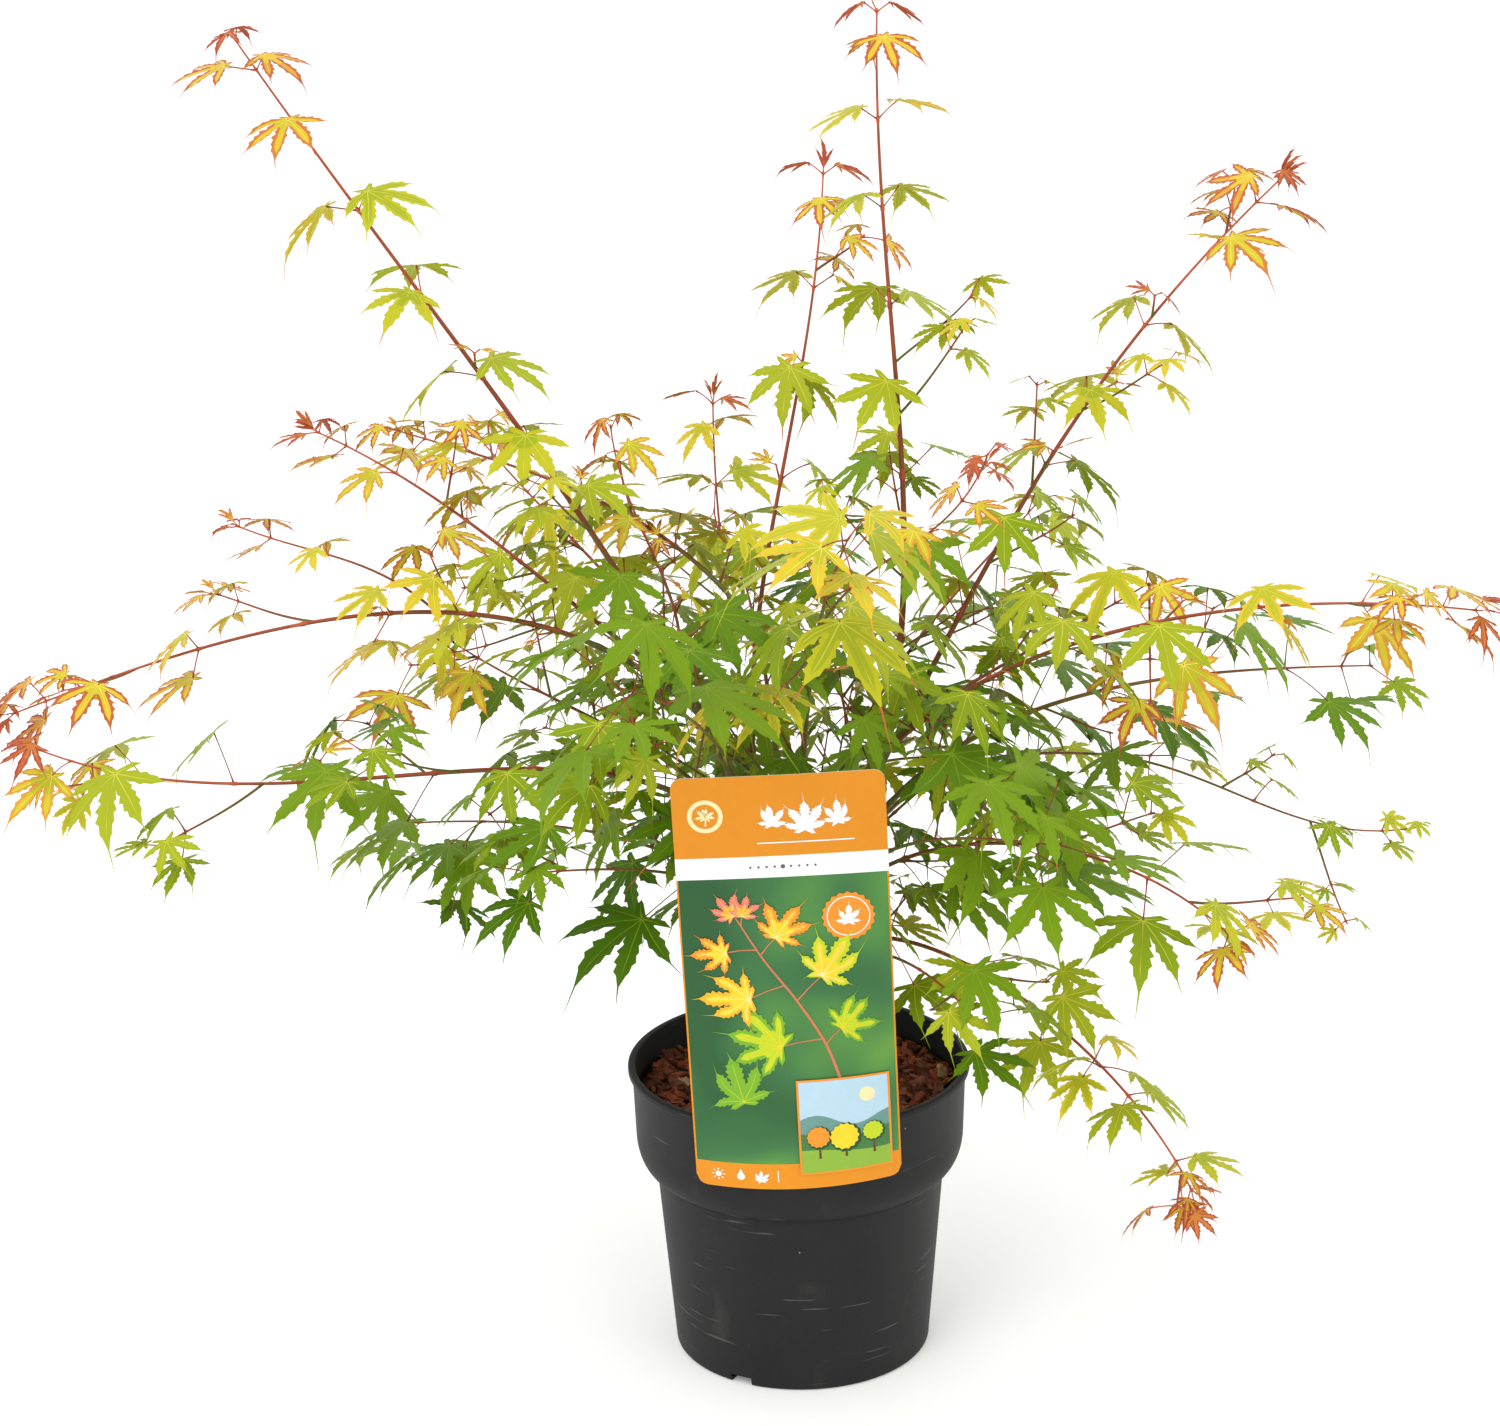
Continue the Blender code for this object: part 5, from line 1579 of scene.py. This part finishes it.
class Shoot:
    """One leafy shoot: its stem, its side twigs and the leaves they bear."""

    def __init__(self, name, limb, first, garden):
        self.name = name
        self.limb = limb
        self.first = first
        self.garden = garden
        self.chance = random.Random(name)
        self.look = random.Random(name + "_looks")
        self.blade = SHOOTS[name]["blade"] / 1000
        self.tint = SHOOTS[name]["tint"]
        heading = SHOOTS[name]["heading"]
        self.side = next(side for side, (low, high) in FOLIAGE_SIDES.items()
                         if low <= heading < high)
        self.leaves = garden.leaves[self.side]
        self.twigs = garden.twigs[self.side]

    def in_own_space(self, point):
        """Whether a point is nearer this stem than the others, within the slack."""
        nearest = {name: min((point - p).length for p in points)
                   for name, points in self.garden.stems.items()}
        others = min(d for name, d in nearest.items() if name != self.name)
        return nearest[self.name] < others + OWN_SPACE_SLACK

    def age(self, number, tint=None):
        """How young a leaf is, on the scale of LEAF_TINTS, by its pair from the tip."""
        young, fade, old = tint or self.tint
        return old + (young - old) * math.exp(-number / fade)

    def add_leaf(self, place, root, size, age, kind):
        """One leaf on its petiole, if it runs through nothing and stays in the crown."""
        shape = self.look.choice(self.garden.shapes[kind])
        blade = [place @ (Vector((x, y, -self.garden.mean_sag * (x * x + y * y))) * size)
                 for x, y in shape.outline]
        stalk = root.lerp(place.translation, PETIOLE_FREE_SHARE)
        probe = blade + [stalk, place.translation + Vector((0.0003, 0.0003, 0.0))]
        faces = shape.fan + [(len(blade), 0, len(blade) + 1)]
        middle = place.translation
        if any(hides_card(middle.lerp(point, TAIL_ROOM)) for point in blade):
            return False
        if not self.garden.thicket.is_clear(probe, faces):
            return False
        frame_of = np.array(place.to_3x3())
        points = shape.array @ frame_of.T * size + np.array(place.translation)
        if (points.min(0) < self.garden.low).any() or (points.max(0) > self.garden.high).any():
            return False
        self.garden.thicket.add(probe, faces)
        self.leaves.add([Vector(p) for p in points], shape.faces,
                        self.leaf_tints(shape, age))
        self.add_petiole(root, place.translation, age)
        return True

    def leaf_tints(self, shape, age):
        """A tint for each face: redder towards the margins and tails of young leaves."""
        age += self.look.gauss(0, LEAF_AGE_SPREAD)
        flush = max(0.0, min(1.0, (age - FLUSH_FROM) / FLUSH_OVER))
        tail = age + TAIL_AHEAD * flush
        if self.look.random() < SINGED_SHARE:
            tail = max(tail, SINGED_AGE)
        ages = (age - HEART_BEHIND * flush, age - BLADE_BEHIND * flush,
                age + MARGIN_AHEAD * flush, tail)
        last = len(LEAF_TINTS) - 1
        tones = [max(0, min(last, round(a))) for a in ages]
        rib = 0 if age < GREEN_RIB_UNDER else 1 if age < LIME_RIB_UNDER else 2
        tones.insert(0, tones[0] if age > NO_RIB_FROM else len(LEAF_TINTS) + rib)
        return [tones[zone] for zone in shape.zones]

    def add_petiole(self, root, base, age):
        """A thin stalk that bends up a little on its way to the blade."""
        length = (base - root).length
        bend = (root + base) / 2 + Vector((0, 0, length * self.look.uniform(*PETIOLE_BEND)))
        steps = len(PETIOLE_WIDTHS) - 1
        places = []
        for k in range(steps + 1):
            s = k / steps
            places.append(root * (1 - s) ** 2 + bend * (2 * s * (1 - s)) + base * s * s)
        radii = [PETIOLE_RADIUS * r for r in PETIOLE_WIDTHS]
        redness = PETIOLE_REDNESS + age * PETIOLE_YOUNG_REDDER
        redness += self.look.gauss(0, PETIOLE_SPREAD)
        self.twigs.add(*tube(places, radii, 4,
                             lambda k, up: stem_tint(redness + PETIOLE_TOP_REDDER * up)))

    def dress(self, limb, first, scale, tint):
        """Leaf pairs along a stem or twig, turning a quarter from pair to pair."""
        chance = self.chance
        turn = chance.uniform(-FIRST_TURN_SPREAD, FIRST_TURN_SPREAD)
        pairs = leaf_pairs(limb, first, chance)
        for number, t in enumerate(pairs):
            share = TIP_SIZES[number] if number < len(TIP_SIZES) else 1.0
            full = FULL_LEAF_DROOP if share == 1.0 else 0
            age = self.age(number, tint)
            for side in (0, math.pi):
                if number > 1 and self.look.random() < MISSING_SHARE:
                    continue
                size = self.blade * scale * share * chance.uniform(*LEAF_SIZE_SPREAD)
                droop = math.radians(chance.uniform(*LEAF_DROOP) + full)
                roll = math.radians(chance.uniform(-LEAF_ROLL, LEAF_ROLL))
                swing = (turn + side + number * math.pi / 2
                         + chance.uniform(-PAIR_TURN_SPREAD, PAIR_TURN_SPREAD))
                shares = PETIOLE_SHARE if age < OLD_STALK_UNDER else YOUNG_PETIOLE_SHARE
                petiole = size * chance.uniform(*shares)
                self.try_leaf(limb, t, swing, size, droop, roll, age, petiole)
        return pairs

    def try_leaf(self, limb, t, swing, size, droop, roll, age, petiole):
        """A leaf as the rule places it, else one turned and shrunk until it is clear."""
        kind = "full" if age < FULL_UNDER else "flushed" if age < FLUSHED_UNDER else "tip"
        place = leaf_place(limb, t, swing, petiole, droop, roll)[0]
        if not self.in_own_space(place @ Vector((0, size * 0.4, 0))):
            return
        look = self.look
        for _ in range(LEAF_TRIES):
            place, root = leaf_place(limb, t, swing, petiole, droop, roll)
            if self.add_leaf(place, root, size, age, kind):
                return
            size *= RETRY_SCALE
            droop += math.radians(look.uniform(*RETRY_DROOP))
            roll += math.radians(look.uniform(*RETRY_ROLL))
            swing += look.uniform(*RETRY_SWING)

    def add_twig(self, t, number):
        """A side twig that opens from the stem and bears its own leaves."""
        chance = self.chance
        turn = chance.uniform(-TWIG_TURN_SPREAD, TWIG_TURN_SPREAD) + math.pi * (number % 2)
        heading, outward = way_out(self.limb, t, turn)
        opening = math.radians(TWIG_OPENING)
        along = (outward * math.sin(opening) + heading * math.cos(opening)).normalized()
        start = self.limb.point(t)
        tip = (start + along * (TWIG_REACH * chance.uniform(*TWIG_REACH_SPREAD))
               + Vector((0, 0, TWIG_LIFT)))
        twig = self.twig_limb(start, tip, along)
        probe = probe_twig(twig, TWIG_PROBES, TWIG_PROBE_RADIUS)
        if self.in_own_space(tip) and self.garden.thicket.is_clear(*probe):
            self.garden.thicket.add(*probe)
            self.garden.stems[self.name].extend([twig.point(0.5), tip])
            base = self.age(number)
            tint = (base + TWIG_YOUTH, TWIG_FADE, base)
            pairs = self.dress(twig, TWIG_BARE_SHARE, TWIG_LEAF_SCALE, tint)
            self.add_stem(twig, 0.0, pairs, tint)
            self.add_tuft(twig, tint[0])

    def twig_limb(self, start, tip, along):
        slope = math.degrees(math.asin(max(-1.0, min(1.0, along.z))))
        return Limb(start, tip, slope, slope + TWIG_RISE, 0, LIMB_TIP_RADIUS, STEM_TIP_RADIUS)

    def stem_marks(self, limb, first, pairs, swell):
        """Where a stem has its rings: evenly along it, and close together at each pair."""
        marks = steps_between([first, 1.0], limb.share(STEM_RING_SPACING))
        for t in pairs:
            marks = [m for m in marks if abs(m - t) > swell * 1.6]
            marks += [m for m in (t - swell, t - swell * 0.3, t + swell * 0.3, t + swell)
                      if m < 1.0]
        return sorted(marks + ([1.0] if max(marks) < 1.0 else []))

    def add_stem(self, limb, first, pairs, tint):
        """The stem or twig, swollen at each leaf pair, redder above and near its tip."""
        swell = limb.share(NODE_HALF_LENGTH)
        marks = self.stem_marks(limb, first, pairs, swell)
        radii = []
        for m in marks:
            drop = (limb.thin - STEM_TIP_RADIUS) * (m - first) / (1 - first)
            near = any(abs(m - t) < swell * 0.6 for t in pairs)
            slim = (limb.radius(m) - drop) * STEM_SLIMNESS
            radii.append(slim * (NODE_SWELLING if near else 1.0))
        young = (tint[0] - STEM_YOUNG_FROM) * STEM_YOUNG_REDDER

        def tone(k, up):
            share = (marks[k] - first) / (1 - first)
            near = any(abs(marks[k] - t) < swell * 1.2 for t in pairs)
            redness = STEM_REDNESS + young + STEM_TIP_REDDER * share + STEM_TOP_REDDER * up
            return stem_tint(redness + (NODE_REDDER if near else 0))
        self.twigs.add(*tube([limb.point(m) for m in marks], radii, STEM_SIDES, tone))

    def add_fine_twigs(self):
        """Finer twigs among the boughs, whose small leaves fill the crown's heart."""
        look = self.look
        t = FINE_FROM
        while t < FINE_TO:
            t += self.limb.share(FINE_SPACING * look.uniform(*FINE_GAPS))
            start = self.limb.point(min(1.0, t))
            inside = start.z < FINE_HIGHEST and math.hypot(start.x, start.y) < FINE_FURTHEST
            if inside or look.random() <= FINE_OUTSIDE:
                self.add_fine_twig(t, start, inside)

    def add_fine_twig(self, t, start, inside):
        """One fine twig with two pairs of leaves, if it runs through nothing."""
        look = self.look
        turn = look.uniform(0, math.tau)
        heading, outward = way_out(self.limb, t, turn)
        along = slanting(outward, heading, FINE_LIFT)
        tip = start + along * look.uniform(*FINE_REACH)
        twig = self.twig_limb(start, tip, along)
        probe = probe_twig(twig, FINE_PROBES, FINE_PROBE_RADIUS)
        if not self.garden.thicket.is_clear(*probe):
            return
        self.garden.thicket.add(*probe)
        pairs = [1 - twig.share(down) for down in FINE_PAIRS_DOWN]
        base = self.age((1 - t) * self.limb.length / INTERNODE)
        self.add_stem(twig, 0.0, pairs, (base + 1.0, 1.0, base))
        for number, place in enumerate(pairs):
            for side in (0, math.pi):
                size = self.blade * look.uniform(*FINE_BLADES)
                size *= 1.0 if inside else FINE_OUTSIDE_SCALE
                age = base + look.uniform(*FINE_AGES) + (FINE_TIP_AGE if number == 0 else 0)
                self.add_fine_leaf(twig, place, turn + side + number * math.pi / 2, size, age)

    def add_fine_leaf(self, twig, place, swing, size, age):
        look = self.look
        kind = "full" if age < FULL_UNDER else "flushed"
        for _ in range(LEAF_TRIES):
            droop = math.radians(look.uniform(*FINE_DROOP))
            roll = math.radians(look.uniform(*FINE_ROLL))
            there, root = leaf_place(twig, place, swing + look.uniform(*FINE_SWING),
                                     size * look.uniform(*FINE_PETIOLE), droop, roll)
            if self.add_leaf(there, root, size, age, kind):
                return
            size *= FINE_RETRY_SCALE

    def add_tuft(self, limb, age):
        """Narrow leaves still unfolding, which stand round the very tip of a shoot."""
        look = self.look
        if age < TUFT_FROM_AGE:
            return
        root = limb.point(1 - limb.share(TUFT_DOWN))
        first = look.uniform(0, math.tau)
        for number, size in enumerate(TUFT_BLADES):
            heading, outward = way_out(limb, 1.0, first + number * TUFT_TURN)
            open_up = look.uniform(*TUFT_OPENING)
            axis = (heading + outward * open_up + Vector((0, 0, 0.2))).normalized()
            base = root + axis * look.uniform(*TUFT_STALK)
            place = blade_frame(base, axis, look.uniform(-0.8, 0.8))
            self.add_leaf(place, root, size * look.uniform(0.8, 1.15),
                          min(12.0, age + look.uniform(0.0, 1.4)), "bud")

    def add_sprigs(self, pairs):
        """Tiny young leaves on short stalks at the older leaf pairs of an outer shoot."""
        for number, t in enumerate(pairs):
            if number >= SPRIG_FIRST_PAIR and self.look.random() <= SPRIG_SHARE:
                self.add_sprig(t, number)

    def add_sprig(self, t, number):
        look = self.look
        turn = look.uniform(0, math.tau)
        heading, outward = way_out(self.limb, t, turn)
        along = slanting(outward, heading, SPRIG_LIFT)
        start = self.limb.point(t)
        tip = start + along * look.uniform(*SPRIG_REACH)
        twig = self.twig_limb(start, tip, along)
        age = self.age(number) + look.uniform(*SPRIG_YOUTH)
        age = max(SPRIG_AGES[0], min(SPRIG_AGES[1], age))
        self.add_stem(twig, 0.0, [0.96], (age, 1.0, age))
        for side in (0, math.pi):
            size = look.uniform(*SPRIG_BLADE)
            place, root = leaf_place(twig, 0.98, turn + side + look.uniform(-0.5, 0.5),
                                     size * SPRIG_PETIOLE, math.radians(look.uniform(-30, 30)),
                                     look.uniform(-0.7, 0.7))
            kind = "tip" if size > SPRIG_BUD_UNDER else "bud"
            self.add_leaf(place, root, size, age, kind)

    def grow(self):
        """Grow the leaves along the stem, then the side twigs with theirs."""
        twig_places = leaf_pairs(self.limb, self.first, random.Random(self.name))
        pairs = self.dress(self.limb, self.first, 1.0, self.tint)
        lap = max(0.0, self.first - self.limb.share(STEM_LAP))
        self.add_stem(self.limb, 0.0 if self.name in FINE_SHOOTS else lap, pairs, self.tint)
        self.add_tuft(self.limb, self.tint[0])
        for number in SIDE_TWIGS.get(self.name, ()):
            if number < len(twig_places):
                self.add_twig(twig_places[number] - self.limb.share(TWIG_BELOW_PAIR), number)
        if self.name in SPRIGGED:
            self.add_sprigs(twig_places)


def hides_card(point):
    """Whether a point lies in front of the card, as the card is looked at."""
    if point.y > -CARD_FRONT:
        return False
    eye = Vector(CAMERA_PLACE)
    there = eye + (point - eye) * ((-CARD_FRONT - eye.y) / (point.y - eye.y))
    return (abs(there.x - CARD_CENTRE_X) < CARD_WIDTH / 2 + CARD_MARGIN
            and CARD_FOOT_Z < there.z < CARD_FOOT_Z + CARD_HEIGHT)


def stem_tint(redness):
    """The stem tint for a redness from 0 to 1, shading from olive to red."""
    count = len(STEM_TINTS)
    return max(0, min(count - 1, int(redness * count)))


class Garden:
    """Everything that the shoots share while they grow."""

    def __init__(self, limbs, starts):
        self.limbs = limbs
        self.starts = starts
        self.shapes = make_leaf_shapes()
        self.mean_sag = sum(LEAF_SAG) / 2
        self.leaves = {side: Heap() for side in FOLIAGE_SIDES}
        self.twigs = {side: Heap() for side in FOLIAGE_SIDES}
        self.low = np.array(CAD_BOX[0])
        self.high = np.array(CAD_BOX[1])
        self.stems = {name: self.stem_marks(name) for name in SHOOTS}
        self.thicket = Thicket()
        for node in ("pot", "soil", "plant_card", "card_tongue"):
            self.thicket.add(*node_shape(node))
        for limb in limbs.values():
            self.add_limb(limb)

    def stem_marks(self, name):
        """Places along a shoot's leafy stem."""
        start = self.starts[name]
        return [self.limbs[name].point(start + (1 - start) * k / OWN_SPACE_MARKS)
                for k in range(OWN_SPACE_MARKS + 1)]

    def add_limb(self, limb):
        """A slimmer, coarse copy of a limb, length by length, for the clearance test."""
        marks = [k / PROBE_MARKS for k in range(PROBE_MARKS + 1)]
        radii = [max(PROBE_LEAST_RADIUS, limb.radius(t) * PROBE_SLIMNESS) for t in marks]
        points = tube([limb.point(t) for t in marks], radii, 4, lambda k, up: 0)[0]
        faces = [(n, n + 4, (n + 1) % 4 + 4, (n + 1) % 4) for n in range(4)]
        for low in range(0, PROBE_MARKS * 4, 4):
            self.thicket.add(points[low:low + 8], faces)

    def grow(self):
        shoots = [Shoot(name, self.limbs[name], self.starts[name], self) for name in SHOOTS]
        for shoot in shoots:
            shoot.grow()
        for shoot in shoots:
            shoot.add_fine_twigs()


def make_foliage(limbs, starts):
    garden = Garden(limbs, starts)
    garden.grow()
    leaf_finishes = [Finish(name, colour, 0.50, 0.16).material
                     for name, colour in LEAF_TINTS + RIB_TINTS]
    stem_finishes = [Finish(name, colour, 0.45, 0.22).material for name, colour in STEM_TINTS]
    for side, (low, high) in FOLIAGE_SIDES.items():
        nodes = [name + "_leaves" for name, plan in LIMBS.items()
                 if low <= plan["heading"] < high]
        settle(garden.leaves[side].piece("leaves_" + side, leaf_finishes), "foliage", *nodes)
        settle(garden.twigs[side].piece("twigs_" + side, stem_finishes), "bark")


def build_all():
    make_camera()
    make_stage()
    make_pot()
    make_soil()
    make_chips()
    make_card()
    make_print()
    limbs = grow_limbs()
    starts = {name: stem_start(limbs[name], name + "_leaves") for name in LIMBS}
    starts.update({name: plan["bare"] for name, plan in FINE_SHOOTS.items()})
    make_bark(limbs, starts)
    make_foliage(limbs, starts)


build_all()
